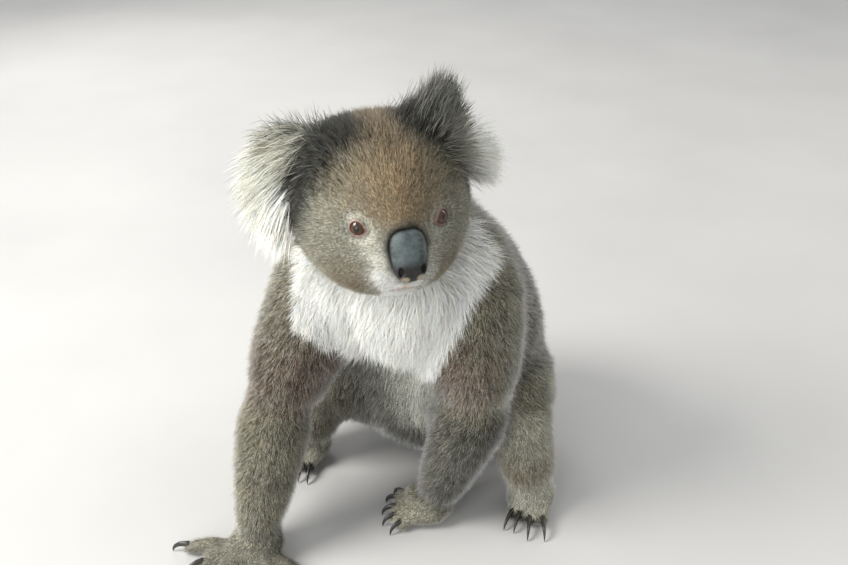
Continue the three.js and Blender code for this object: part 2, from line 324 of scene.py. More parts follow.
# ---------------------------------------------------------------- the skin

# How deep the skin lies under the tips of the coat, in millimetres.
COAT_DEPTH = {
    "head": 6.5, "ear": 1.0, "neck": 12.0, "chest": 13.0, "trunk": 10.5, "upper_arm": 8.0,
    "forearm": 7.2, "hand": 2.4, "thigh": 9.8, "shank": 7.4, "foot": 2.4,
}


def kind(node):
    """`upper_arm_left` is an `upper_arm`."""
    for ending in ("_left", "_right"):
        node = node.removesuffix(ending)
    return node


def nodes_of(*kinds):
    """Where the flesh nodes of these kinds stand in FLESH."""
    return [i for i, node in enumerate(FLESH) if kind(node) in kinds]


def by_node(table):
    """A table's value for each node of FLESH."""
    return np.array([table[kind(node)] for node in FLESH], dtype=float)


def ear_facts(side):
    """An ear's root, and the directions outward, upright and forward as its fan stands."""
    places, _ = welded("ear_" + side)
    head_gap = np.linalg.norm(places - Head.centre, axis=1)
    root = places[np.argsort(head_gap)[: len(places) // 5]].mean(0)
    _, _, axes = np.linalg.svd(places - places.mean(0), full_matrices=False)
    facing = axes[2] * np.sign(axes[2] @ Head.ahead)
    outward = unit(flatten_to(Head.left * SIDES[side], facing))
    upright = np.cross(outward, facing) * -SIDES[side]
    upright = upright * np.sign(upright[2])
    return {"root": root, "facing": facing, "outward": outward, "upright": upright}


def ear_place(points, facts):
    """Distance from an ear's root in millimetres, its angle from outward towards up, and front."""
    away = (points - facts["root"]) / MM
    along, above = away @ facts["outward"], away @ facts["upright"]
    return np.hypot(along, above), np.degrees(np.arctan2(above, along)), away @ facts["facing"]


NOTCH = 30  # where the edge of her left ear is notched, in degrees up from outward


def ear_core(side):
    """The ear without its long hair: the CAD fan drawn in towards its root and made thin."""
    places, faces = welded("ear_" + side)
    facts = ear_facts(side)
    away = places - facts["root"]
    thick = away @ facts["facing"]
    flat = away - thick[:, None] * facts["facing"]
    reach = np.linalg.norm(flat, axis=1)
    hairy = 40 * MM  # further out than this the fan is mostly hair
    drawn = np.minimum(reach * 0.8, hairy + (reach - hairy) * 0.25)
    if side == "left":
        drawn = drawn * (1 - 0.24 * bell(ear_place(places, facts)[1] - NOTCH, 15))
    flat = unit(flat) * drawn[:, None]
    sunk = facts["root"] + 0.1 * (Head.centre - facts["root"])
    return sunk + flat + 0.5 * thick[:, None] * facts["facing"], faces


OVERLAP = 1.5 * MM  # how much each flesh node is grown, so that neighbours fuse


def flesh_body(node):
    """A flesh node as it goes into the skin."""
    if kind(node) == "ear":
        return ear_core(node.removeprefix("ear_"))
    places, faces = welded(node)
    return places + OVERLAP * vertex_normals(places, faces), faces


def fused_flesh():
    """All the flesh as one closed body on a fine grid."""
    rough = mesh_from("flesh", *joined([flesh_body(node) for node in FLESH]))
    piece = bpy.data.objects.new("flesh", rough)
    bpy.context.scene.collection.objects.link(piece)
    remesh = piece.modifiers.new("fuse", "REMESH")
    remesh.mode = "VOXEL"
    remesh.voxel_size = sizes().voxel
    graph = bpy.context.evaluated_depsgraph_get()
    fused = bpy.data.meshes.new_from_object(piece.evaluated_get(graph))
    bpy.data.objects.remove(piece)
    return fused


def regions_of(places):
    """For each point, the flesh node it belongs to, as an index into FLESH."""
    bodies = [welded(node) for node in FLESH]
    tree = BVHTree.FromPolygons(*(part.tolist() for part in joined(bodies)))
    owner = np.repeat(np.arange(len(FLESH)), [len(faces) for _, faces in bodies])
    return np.array([owner[tree.find_nearest(p)[2]] for p in places.tolist()])


class Eye:
    """An eye's place, its gaze, and how far open its lids are, in millimetres."""

    open_wide = 5.7
    open_high = 6.1
    corner = 0.6  # how much further the opening runs towards the nose
    lid_thick = 0.9
    fold_deep = 0.8  # the crease over the upper lid
    tuck = 3.2  # how deep the skin between the lids lies behind the front of the eyeball

    def __init__(self, side):
        low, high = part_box("eye_" + side)
        self.centre = Head.eyes[side]
        self.radius = (high[2] - low[2]) / 2 / MM
        self.gaze = unit(0.50 * SIDES[side] * Head.left + 0.85 * Head.ahead + 0.10 * UP)
        self.inward = flatten_to(-SIDES[side] * Head.left, self.gaze)
        self.upward = flatten_to(UP, self.gaze)

    def local(self, points):
        """Millimetres towards the nose, up and out along the gaze, from the middle of the eye."""
        away = (points - self.centre) / MM
        return away @ self.inward, away @ self.upward, away @ self.gaze

    def opening(self, u, v):
        """Under 1 between the lids, 1 on their rims, more outside them."""
        wide = self.open_wide + self.corner * smooth(u / 7.0) * bell(v + 2.6, 2.0)
        high = self.open_high * (1.0 - 0.10 * smooth(-v / 5.0))
        return np.hypot(u / wide, (v + 0.06 * u) / high)


def shape_lids(places):
    """Draws the skin round each eye into lids that lie on the eyeball."""
    for side in SIDES:
        eye = Eye(side)
        u, v, out = eye.local(places)
        near = (np.hypot(u, v) < 22) & (out > -14)
        reach = eye.opening(u, v)
        shell = eye.radius + eye.lid_thick
        flat = np.minimum(np.hypot(u, v), 0.82 * shell)
        on_ball = np.sqrt(shell**2 - flat**2) - 0.85 * np.maximum(np.hypot(u, v) - flat, 0)
        fade = smooth((reach - 1.2) / 1.3)
        fold = eye.fold_deep * bell(reach - 1.34, 0.07) * smooth((v + 2) / 4)
        height = on_ball * (1 - fade) + out * fade - fold
        inside = smooth((1.0 - reach) / 0.16)
        height = np.where(reach < 1.0, on_ball - eye.tuck * inside, height)
        change = np.where(near, (height - out) * MM, 0.0)
        places = places + change[:, None] * eye.gaze
    return places


def mouth_line(x):
    """Height of the closed lips at a distance to the side of the middle."""
    return -46.5 - 4.0 * np.abs(x / 20) ** 1.6 + 1.5 * bell(x, 3)


def mouth_gap(places):
    """Distance from the closed lips, in millimetres, and large away from the mouth."""
    x, ahead, up = Head.local(places)
    gap = np.abs(up - mouth_line(x)) + 2.0 * np.maximum(np.abs(x) - 16, 0)
    return np.where(ahead > 35, gap, 99.0)


def coat_depths(places, region):
    """How far under the CAD surface the skin lies, in metres."""
    depth = by_node(COAT_DEPTH)[region]
    is_head = region == FLESH.index("head")
    _, ahead, up = Head.local(places)
    to_nose = np.linalg.norm(places - Head.nose, axis=1) / MM
    face = smooth((ahead - 5) / 45) * smooth((45 - up) / 40)
    depth = np.where(is_head, depth - 3.0 * face - 1.0 * bell(to_nose, 30), depth)
    for side in SIDES:
        to_eye = np.linalg.norm(places - Head.eyes[side], axis=1) / MM
        depth = np.where(is_head, depth * (1 - 0.55 * bell(to_eye, 14)), depth)
        to_lip = np.linalg.norm(places - Head.place(side, 13, 75, -42), axis=1) / MM
        depth = np.where(is_head, depth - 4.5 * bell(to_lip, 8), depth)
    return np.maximum(depth, 0.6) * MM


SOFT_ROUNDS, CRISP_ROUNDS = 30, 5  # of smoothing, on the body and on the hands and feet
SEAM_ROUNDS, CREASE_ROUNDS = 40, 160  # of smoothing where one limb runs into the next


def settle(places, faces, region, around):
    """Smooths the fused flesh, and fills the creases between its limbs."""
    firm = around.spread(np.isin(region, nodes_of("hand", "foot")).astype(float), 6)
    softened = around.relax(places, SOFT_ROUNDS)
    crisp = around.relax(places, CRISP_ROUNDS)
    places = blend(softened, crisp, firm)
    owners = around.spread(np.eye(len(FLESH))[region], 40)
    crisp_share = owners[:, nodes_of("head", "ear", "hand", "foot")].sum(1)
    joint = smooth(3 * (1 - owners.max(1))) * smooth(1 - 6 * crisp_share)
    for _ in range(SEAM_ROUNDS):
        places = blend(places, around.average(places), 0.6 * joint)
    for turn in range(CREASE_ROUNDS):
        if turn % 8 == 0:
            normals = vertex_normals(places, faces)
        step = around.average(places) - places
        sinks = np.minimum((step * normals).sum(1), 0)
        places = places + (0.6 * joint)[:, None] * (step - 0.95 * sinks[:, None] * normals)
    return places


def refine(bm, centre, radius):
    """Halves the edges of the faces near a point."""
    near = [f for f in bm.faces if (f.calc_center_median() - centre).length < radius]
    edges = list({e for f in near for e in f.edges})
    bmesh.ops.subdivide_edges(bm, edges=edges, cuts=1, use_grid_fill=True)


def refine_face(mesh):
    """Makes the grid finer round the eyes and the mouth, in rings."""
    bm = bmesh.new()
    bm.from_mesh(mesh)
    for side in SIDES:
        for radius in (21 * MM, 15 * MM, 12 * MM):
            refine(bm, Vector(Head.eyes[side]), radius)
    for radius in (30 * MM, 24 * MM):
        refine(bm, Vector(Head.place("left", 0, 78, -44)), radius)
    bmesh.ops.triangulate(bm, faces=bm.faces)
    bm.to_mesh(mesh)
    bm.free()


def shape_face(places, faces, around):
    """Smooths the finer grid of the face, and draws the lids and the lips into it."""
    to_eyes = [np.linalg.norm(places - Head.eyes[s], axis=1) for s in SIDES]
    near = smooth((30 * MM - np.minimum(*to_eyes)) / (8 * MM))
    near = np.maximum(near, smooth((24 - mouth_gap(places)) / 8))
    places = blend(places, around.relax(places, 10), near)
    places = shape_lids(places)
    groove = 1.8 * bell(mouth_gap(places), 1.1) * MM
    return places - groove[:, None] * vertex_normals(places, faces)


class Skin:
    """The finished skin and all that the coat reads from it."""

    ready = None

    def __init__(self):
        fused = fused_flesh()
        places, faces = mesh_arrays(fused)
        around = Neighbours(faces, len(places))
        region = regions_of(places)
        places = settle(places, faces, region, around)
        depth = around.spread(coat_depths(places, region), 12)
        places = places - depth[:, None] * vertex_normals(places, faces)
        places = around.relax(places, 4)
        fused.vertices.foreach_set("co", places.astype(np.float32).ravel())
        refine_face(fused)
        places, faces = mesh_arrays(fused)
        bpy.data.meshes.remove(fused)
        self.around = Neighbours(faces, len(places))
        places = shape_face(places, faces, self.around)
        places[:, 2] = np.maximum(places[:, 2], 0.0)
        self.places, self.faces = places, faces
        self.normals = vertex_normals(places, faces)
        self.region = regions_of(places)
        self.shares = self.around.spread(np.eye(len(FLESH))[self.region], 14)
        self.ears = {side: ear_facts(side) for side in SIDES}
        self.spots = None  # each triangle's corners laid out flat, once unwrap() has run

    def mix(self, table):
        """A value for each kind of flesh, blended where one runs into the next."""
        return self.shares @ by_node(table)

    def share(self, *kinds):
        """How much of these kinds of flesh each vertex has."""
        return self.shares[:, nodes_of(*kinds)].sum(1)

    def areas(self, faces):
        """Twice the area of each of these triangles."""
        return np.linalg.norm(face_normals(self.places, self.faces[faces]), axis=1)


def skin():
    """The skin, drawn the first time it is asked for."""
    if Skin.ready is None:
        Skin.ready = Skin()
    return Skin.ready


# ---------------------------------------------------------------- markings

# Lines on each side of the head, as millimetres out and up of its middle: where the dark root of
# the ear runs, and the pale stripe down the side of the muzzle.
EAR_LINE = ((28, 66), (49, 53), (62, 32), (74, 2))
MUZZLE_LINE = ((28, 1), (23, -9), (19, -20), (19, -31), (12, -44))
# The ring is less cream round her left eye as painted shade.
EYE_RING = {"left": 0.2, "right": 0.5}  # how cream the ring round each eye is
EAR_EDGE = {"left": 48, "right": 52}  # where an ear's white hair turns dark, in degrees


def line_gap(x, y, corners):
    """Distance of points from a bent line."""
    gap = np.full(len(x), 1e9)
    for (ax, ay), (bx, by) in zip(corners, corners[1:]):
        t = ((x - ax) * (bx - ax) + (y - ay) * (by - ay)) / ((bx - ax) ** 2 + (by - ay) ** 2)
        t = np.clip(t, 0, 1)
        gap = np.minimum(gap, np.hypot(x - ax - t * (bx - ax), y - ay - t * (by - ay)))
    return gap


def nose_gap(points):
    """Distance from the middle of the nose in millimetres, with height counting for less."""
    return np.linalg.norm((points - Head.nose) / MM * [1, 1, 0.72], axis=1)


def head_colour(points):
    """Colours of the head's coat, with painted shade on the crown, under the jaw and on her left
    side of the muzzle, the chin and the ring round the eye.
    """
    x, ahead, up = Head.local(points)
    side = np.abs(x)
    colour = np.tile(tone("cheek"), (len(points), 1))
    top = smooth((up - 2) / 34)
    colour = blend(colour, tone("grey"), 0.8 * top)
    back = smooth((10 - ahead) / 40)
    colour = blend(colour, tone("grey"), 0.9 * back)
    brow = bell(x, 23) * smooth((up + 2) / 18) * smooth((ahead + 60) / 40)
    colour = blend(colour, tone("brown") * 1.08, 0.9 * brow)
    # Painted shade: the top of the head is darkened, the more so further up and out from its
    # middle.
    crown = smooth((np.hypot(x, up) - 42) / 24) * smooth((up - 20) / 30)
    colour *= 1 - 0.56 * crown[:, None]
    # Brown along the jaw: partly its fur, partly painted shade under the jaw.
    jaw = bell(side - 38, 14) * bell(up + 42, 12) * smooth((ahead - 15) / 20)
    colour = blend(colour, tone("brown") * 0.7, 0.7 * jaw)
    muzzle = bell(line_gap(side, up, MUZZLE_LINE), 6.0) * smooth((ahead - 40) / 14)
    # The pale stripe is fainter high up, and painted shade dims it on her left side.
    muzzle *= (0.35 + 0.65 * smooth((-6 - up) / 16)) * (1 - 0.6 * smooth((x - 6) / 8))
    pale = blend(np.tile(tone("cream"), (len(points), 1)), tone("white"), smooth((-24 - up) / 8))
    colour = blend(colour, pale, np.minimum(1.3 * muzzle, 0.97))
    chin = smooth((-36 - up) / 5) * smooth((ahead - 30) / 20) * smooth((19 - side) / 5)
    # Painted shade greys the white chin on her left side.
    chin *= 0.74 - 0.54 * smooth((x - 4) / 6)
    colour = blend(colour, tone("white"), chin)
    throat = smooth((-58 - up) / 6)
    colour = blend(colour, tone("white"), throat * smooth((ahead + 10) / 30))
    for name in SIDES:
        eye = Eye(name)
        u, v, out = eye.local(points)
        ring = bell(eye.opening(u, v) - 1.45, 0.40) * (out > -4) * (0.7 + 0.3 * smooth(v / 4))
        # Less cream round her left eye: painted shade.
        colour = blend(colour, tone("cream"), EYE_RING[name] * ring)
    root = bell(line_gap(side, up, EAR_LINE), 10.5) * smooth((ahead + 34) / 20)
    root *= smooth((42 - ahead) / 22)
    colour = blend(colour, tone("charcoal"), np.minimum(1.2 * root, 0.96))
    rim = smooth((21 - nose_gap(points)) / 4) * smooth((up + 16) / 10)
    return blend(colour, tone("dark_grey"), 0.75 * rim)


def ear_colour(points, side, facts):
    """Colours of an ear's coat: white in front, dark at its root, its upper edge and its back."""
    reach, angle, front = ear_place(points, facts)
    colour = np.tile(tone("white"), (len(points), 1))
    colour = blend(colour, tone("dark_grey"), 0.9 * smooth((angle - EAR_EDGE[side]) / 22))
    colour = blend(colour, tone("charcoal"), 0.95 * smooth((20 - reach) / 12))
    behind = smooth((-1 - front) / 3)
    return blend(colour, tone("dark_grey"), 0.85 * behind * smooth((44 - reach) / 14))


# How many times as pale as the rest of her these parts are: partly their own tone and partly
# painted light and shade, which lightens some parts and darkens others.
TINT_AND_PAINTED_LIGHT = {
    "trunk": 0.52, "upper_arm_left": 1.30, "forearm_left": 0.36, "forearm_right": 1.15,
    "hand_left": 1.15, "hand_right": 0.8, "thigh_left": 1.5, "shank_left": 1.55,
}


def mottle(points):
    """Soft patches a few centimetres across, from -1 to 1."""
    x, y, z = (points / MM).T
    patches = np.sin(x / 6.1 + 2 * np.sin(z / 11)) * np.sin(y / 7.3 + 1.7 * np.sin(x / 13))
    return patches * np.sin(z / 6.7 + 2.1 * np.sin(y / 12))


def from_chest(s):
    """Millimetres to the left of the middle of the chest, and up from the foot of the bib."""
    x, _, z = (s.places / MM).T
    low, high = (np.array(corner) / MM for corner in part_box("chest"))
    return x - (low[0] + high[0]) / 2, z - low[2] + 20


def bib_cover(s):
    """1 on the white bib, which is wider on her right and has a ragged edge."""
    aside, rise = from_chest(s)
    x, y, z = (s.places / MM).T
    half_wide = 7 + 0.58 * rise + 3 * np.sin(x / 3.1) + 2 * np.sin(x / 1.7 + z / 9)
    her_right = smooth(-aside / 30)
    half_wide = half_wide + her_right * (12 * smooth(rise / 40) + 16 * bell(rise - 82, 16))
    half_wide = half_wide + (1 - her_right) * 19 * smooth((100 - rise) / 60)
    bib = smooth((half_wide - np.abs(aside)) / 9) * smooth(rise / 8)
    bib *= smooth((-8 - 38 * smooth(-aside / 70) - y) / 18)
    return bib * smooth((s.share("chest", "neck", "upper_arm", "trunk") - 0.2) / 0.4)


def limb_colour(s, colour, bib):
    """Brown inner arms, pale hands, feet and shanks, made paler still on the legs and feet by
    painted light, and dark hair round the claws of the feet.
    """
    x, y, z = (s.places / MM).T
    for name, sign in SIDES.items():
        arm = middle("upper_arm_" + name) / MM
        inner = s.share("upper_arm") * smooth((sign * (arm[0] - x) + 4) / 18)
        inner *= smooth((arm[1] + 20 - y) / 30) * bell(z - arm[2] + 27, 34) * (1 - bib)
        colour = blend(colour, tone("brown") * [0.36, 0.28, 0.32], 0.8 * inner)
    # Pale paws and legs; on the legs and feet the paleness is partly painted light against their
    # shadow.
    colour = blend(colour, tone("paw"), 0.2 * smooth(s.share("thigh") * 1.3))
    colour = blend(colour, tone("paw"), 0.7 * smooth(s.share("shank") * 1.3))
    colour = blend(colour, tone("paw"), 0.7 * smooth(s.share("hand") * 1.3))
    colour = blend(colour, tone("paw") * 1.6, smooth(s.share("foot") * 1.3))
    colour = blend(colour, tone("brown") * 0.45, 0.6 * s.share("shank") * bell(z - 60, 11))
    colour = blend(colour, tone("paw") * 1.3, s.share("shank") * smooth((48 - z) / 12))
    for name in SIDES:
        for claw in claws_of("foot_" + name):
            away = np.linalg.norm(s.places - middle(claw), axis=1) / MM
            colour = blend(colour, tone("charcoal"), 0.85 * smooth((18 - away) / 6))
    return colour


def markings(s):
    """The coat's colour at each vertex of the skin, with painted light and shade on some parts."""
    aside, _ = from_chest(s)
    _, y, z = (s.places / MM).T
    bib = bib_cover(s)
    colour = np.outer(1 + 0.30 * mottle(s.places), tone("grey"))
    colour = blend(colour, tone("white"), np.maximum(bib, smooth(s.share("chest") * 2 - 0.6)))
    colour = limb_colour(s, colour, bib)
    nearby = s.around.spread(s.shares, 60)
    # Each part's own tone, together with painted light and shade.
    for name, change in TINT_AND_PAINTED_LIGHT.items():
        colour *= 1 + (change - 1) * smooth(nearby[:, FLESH.index(name)] * 1.3)[:, None]
    belly = s.share("trunk") * smooth((90 - y) / 40) * bell(aside - 6, 20) * (1 - bib)
    belly *= smooth((z - 72) / 30) * smooth((200 - z) / 25)
    colour = blend(colour, tone("cream"), 0.95 * belly)
    rump = s.share("trunk") * smooth((80 - z) / 60) * smooth((y - 60) / 80)
    colour = blend(colour, tone("white"), 0.5 * rump)
    colour = blend(colour, head_colour(s.places), smooth(s.share("head") * 1.4 - 0.2))
    for side in SIDES:
        ear = smooth(s.shares[:, FLESH.index("ear_" + side)] * 1.5 - 0.25)
        colour = blend(colour, ear_colour(s.places, side, s.ears[side]), ear)
    return colour


def bareness(points):
    """1 on the rims of the lids and on the lips, which are also moist, and 0 under the coat."""
    bare = np.zeros(len(points))
    for side in SIDES:
        eye = Eye(side)
        u, v, out = eye.local(points)
        reach = 1.20 + 0.24 * smooth((u - 1.2 * v) / 8)
        bare = np.maximum(bare, smooth((reach - eye.opening(u, v)) / 0.12) * (out > -6))
    x, _, _ = Head.local(points)
    lips = smooth((0.8 + 2.4 * bell(x, 6) - mouth_gap(points)) / 0.9)
    return np.maximum(bare, lips * smooth((14 - np.abs(x)) / 5))


# ---------------------------------------------------------------- the lie of the coat

# Length of a short lock in millimetres, how steeply it stands in degrees, its width against
# Lock width, and how close it stands to the next against the other kinds of flesh.
LOCK_LENGTH = {
    "head": 9.0, "ear": 11.0, "neck": 16.0, "chest": 20.0, "trunk": 13.0, "upper_arm": 10.2,
    "forearm": 9.2, "hand": 6.4, "thigh": 12.0, "shank": 9.4, "foot": 6.4,
}
LOCK_LIFT = {
    "head": 44, "ear": 30, "neck": 48, "chest": 36, "trunk": 50, "upper_arm": 50,
    "forearm": 50, "hand": 34, "thigh": 50, "shank": 48, "foot": 34,
}
LOCK_WIDTH = {
    "head": 0.72, "ear": 0.7, "neck": 1.0, "chest": 0.9, "trunk": 1.15, "upper_arm": 0.95,
    "forearm": 0.9, "hand": 0.65, "thigh": 1.05, "shank": 0.9, "foot": 0.65,
}
LOCK_DENSITY = {
    "head": 1.9, "ear": 1.6, "neck": 0.9, "chest": 1.0, "trunk": 0.62, "upper_arm": 1.15,
    "forearm": 1.25, "hand": 2.0, "thigh": 0.9, "shank": 1.2, "foot": 2.0,
}


def limb_flow(limb, onward):
    """The direction from one flesh node to the next one down the limb."""
    return unit(middle(onward) - middle(limb))


def flow_field(s):
    """Which way the coat lies at each vertex of the skin."""
    places = s.places
    flow = np.zeros_like(places)

    def put(node, direction):
        """Sets one flesh node's flow to a direction, or to one for each vertex."""
        mine = s.region == FLESH.index(node)
        flow[mine] = np.broadcast_to(direction, places.shape)[mine]

    x, _, up = Head.local(places)
    from_nose = unit(places - (Head.nose + 12 * MM * Head.ahead - 4 * MM * UP))
    put("head", from_nose - np.outer(smooth((30 - up) / 60) * smooth(np.abs(x) / 40), 0.35 * UP))
    put("neck", unit(np.array([0.0, 0.45, -1.0])))
    apart = 1.6 * (places[:, 0] - middle("chest")[0])
    put("chest", np.outer(apart, [1, 0, 0]) + [-0.12, -0.2, -0.6])
    put("trunk", np.array([0.0, 0.35, -1.0]))
    for side in SIDES:
        ear = s.ears[side]
        out = flatten_to(places - Head.place(side, *FAN_CENTRE[side]), ear["facing"])
        put("ear_" + side, out + 0.25 * ear["facing"] - 0.1 * UP)
        put("upper_arm_" + side, limb_flow("upper_arm_" + side, "forearm_" + side))
        put("forearm_" + side, limb_flow("forearm_" + side, "hand_" + side))
        put("thigh_" + side, limb_flow("thigh_" + side, "shank_" + side) - 0.7 * UP)
        put("shank_" + side, limb_flow("shank_" + side, "foot_" + side))
        for limb in ("hand_" + side, "foot_" + side):
            tips = np.mean([middle(c) for c in claws_of(limb)], axis=0)
            onward = unit(tips - middle(limb))
            put(limb, onward + 10 * (places - middle(limb)) * [1, 1, 0.2] - 0.1 * UP)
    on_head = s.region == FLESH.index("head")
    for side in SIDES:
        eye = Eye(side)
        u, v, _ = eye.local(places)
        away = unit(np.outer(u, eye.inward) + np.outer(v, eye.upward))
        flow += (1.1 * bell(np.hypot(u, v), 9) * on_head)[:, None] * away
    flow = flatten_to(s.around.spread(flow, 10), s.normals)
    return flatten_to(s.around.spread(flow, 4), s.normals)


class Lie:
    """Everything a lock needs to know at each vertex of the skin."""

    ready = None

    def __init__(self, s):
        places = s.places
        _, ahead, up = Head.local(places)
        to_nose = np.linalg.norm(places - Head.nose, axis=1) / MM
        face = s.share("head") * smooth(ahead / 50) * smooth((50 - up) / 40)
        muzzle = s.share("head") * bell(to_nose, 32)
        eyes = np.zeros(len(places))
        for side in SIDES:
            to_eye = np.linalg.norm(places - Head.eyes[side], axis=1) / MM
            eyes = np.maximum(eyes, bell(to_eye, 15) * s.share("head"))
        short = 1 - 0.42 * face - 0.28 * muzzle
        short = np.minimum(short, 1 - 0.68 * eyes)
        self.flow = flow_field(s)
        self.length = s.mix(LOCK_LENGTH) * MM * short
        bib_extra = sizes().bib_length / (LOCK_LENGTH["chest"] * MM) - 1
        self.length *= 1 + s.share("chest") * bib_extra
        self.lift = np.radians(s.mix(LOCK_LIFT) - 14 * muzzle - 12 * eyes)
        self.width = s.mix(LOCK_WIDTH) * sizes().lock_width * (0.35 + 0.65 * short)
        self.density = s.mix(LOCK_DENSITY) * (1 + 0.7 * face + 1.2 * muzzle + 2.5 * eyes)
        bare = bareness(places)
        low = smooth((3 * MM - places[:, 2]) / (2 * MM))
        sole = low * smooth((-s.normals[:, 2] - 0.3) / 0.3)
        nose = smooth((15.5 - nose_gap(places)) / 2)
        self.density *= (1 - bare) * (1 - sole) * (1 - nose)
        self.colour = markings(s)
        white = smooth((self.colour.mean(1) - 0.55) / 0.25) * s.share("upper_arm", "neck", "trunk")
        self.length *= 1 + 0.8 * white
        _, angle, _ = ear_place(places, s.ears["left"])
        notch = s.shares[:, FLESH.index("ear_left")] * bell(angle - NOTCH, 16)
        self.length *= 1 - 0.55 * np.minimum(1.5 * notch, 1)


def lie():
    """The lie of the coat, worked out the first time it is asked for."""
    if Lie.ready is None:
        Lie.ready = Lie(skin())
    return Lie.ready


# ---------------------------------------------------------------- locks

# A short lock is a spike: a ring of three sunk in the skin, and a tip. A long one is a closed
# body that starts at a point in the skin, swells to rings of three, and ends in a tip.
SPIKE_FACES = np.array([(0, 2, 1), (0, 1, 3), (1, 2, 3), (2, 0, 3)])
SPIKE_SPOTS = [(0.0, 0.0), (0.5, 0.15), (1.0, 0.0), (0.5, 1.0)]
PATCH = 0.003  # size of a lock's patch on the bake map, against the whole map
LOWEST = 0.4 * MM  # no lock comes closer to the floor


def lock_faces(rings):
    """Triangles of a long lock."""
    faces = [(0, 1 + (j + 1) % 3, 1 + j) for j in range(3)]
    for ring in range(rings - 1):
        a, b = 1 + 3 * ring, 4 + 3 * ring
        for j in range(3):
            k = (j + 1) % 3
            faces += [(a + j, a + k, b + k), (a + j, b + k, b + j)]
    last, tip = 1 + 3 * (rings - 1), 1 + 3 * rings
    faces += [(last + j, last + (j + 1) % 3, tip) for j in range(3)]
    return np.array(faces)


def lock_patch(rings):
    """Places of a lock's corners on its patch of the bake map."""
    spots = [(0.5, 0.0)]
    for ring in range(rings):
        along = (ring + 1) / (rings + 1)
        spots += [(0.0, along), (0.5, along), (1.0, along)]
    return spots + [(0.5, 1.0)]


def ring_round(middles, course, side, half_width):
    """Three corners round each lock, and the way each one faces."""
    over = unit(np.cross(course, side))
    across = np.cross(over, course)
    for turn in (0.5, 0.5 + 2 / 3, 0.5 + 4 / 3):
        spoke = math.cos(math.pi * turn) * across + 0.6 * math.sin(math.pi * turn) * over
        yield middles + half_width * spoke, spoke


def lock_mesh(name, spine, widths, side, roots, colours, roundness):
    """Joins locks into one mesh.

    `spine` holds each lock's root, the middles of its rings and its tip. `widths` holds the half
    width of each ring, or of the root where the lock is a spike.
    """
    count, stations, _ = spine.shape
    rings = stations - 2
    columns, outward = [], []
    if rings:
        columns.append(spine[:, 0])
        outward.append(roots.normal)
    for i in range(max(rings, 1)):
        here = i + 1 if rings else 0
        course = unit(spine[:, i + 2] - spine[:, i]) if rings else unit(spine[:, 1] - spine[:, 0])
        for corner, spoke in ring_round(spine[:, here], course, side, widths[:, i, None]):
            columns.append(corner)
            outward.append(unit(roots.normal + roundness * spoke))
    columns.append(spine[:, -1])
    outward.append(unit(roots.normal + roundness * unit(spine[:, -1] - spine[:, -2])))
    places = np.stack(columns, 1).reshape(-1, 3)
    places[:, 2] = np.maximum(places[:, 2], LOWEST)
    outward = np.stack(outward, 1).reshape(-1, 3)
    faces = lock_faces(rings) if rings else SPIKE_FACES
    each = len(columns)
    faces = (faces[None] + each * np.arange(count)[:, None, None]).reshape(-1, 3)
    mesh = mesh_from(name, places, faces)
    station = np.repeat(np.arange(stations), [1] + [3] * rings + [1] if rings else [3, 1])
    paint(mesh, COLOUR, colours[:, station].reshape(-1, 3))
    paint(mesh, ALONG, np.tile(np.linspace(0, 1, stations)[station], count))
    patch = PATCH * (np.array(lock_patch(rings) if rings else SPIKE_SPOTS) - 0.5)
    spots = (roots.uv[:, None] + patch[None]).reshape(-1, 2)
    layer = mesh.uv_layers.new(name=BAKE_MAP)
    layer.uv.foreach_set("vector", spots[faces.ravel()].astype(np.float32).ravel())
    mesh.normals_split_custom_set_from_vertices(outward)
    return mesh


class Roots:
    """Places on the skin where locks grow, with what the skin holds there."""

    def __init__(self, faces, weights, count, rng):
        s, field = skin(), lie()
        chosen = rng.choice(len(faces), count, p=weights / weights.sum())
        corners = s.faces[faces[chosen]]
        a, b = rng.random((2, count))
        folded = a + b > 1
        a, b = np.where(folded, 1 - a, a), np.where(folded, 1 - b, b)
        parts = np.stack([1 - a - b, a, b], 1)

        def at(values):
            """The skin's values at the roots."""
            mixed = values[corners]
            return (mixed * parts.reshape(count, 3, *[1] * (mixed.ndim - 2))).sum(1)

        self.count = count
        self.place = at(s.places)
        self.normal = unit(at(s.normals))
        self.flow = flatten_to(at(field.flow), self.normal)
        self.length = at(field.length)
        self.lift = at(field.lift)
        self.width = at(field.width)
        self.colour = at(field.colour)
        self.uv = (s.spots[faces[chosen]] * parts[:, :, None]).sum(1)


def tuft_of(roots, spacing, rng):
    """Gathers locks into tufts: each root's tuft leader, as an index of a root.

    A leader is the first root drawn in its cell of a grid. Some roots are passed over, so that
    the tufts don't stand in rows.
    """
    leaders = {}
    order = rng.permutation(roots.count)
    cells = np.floor(roots.place / spacing).astype(int)
    leads = rng.random(roots.count) > 0.2
    for i in order[leads[order]]:
        leaders.setdefault(tuple(cells[i]), i)
    tree = KDTree(len(leaders))
    for i in leaders.values():
        tree.insert(roots.place[i], int(i))
    tree.balance()
    return np.array([tree.find(p)[1] for p in roots.place.tolist()])


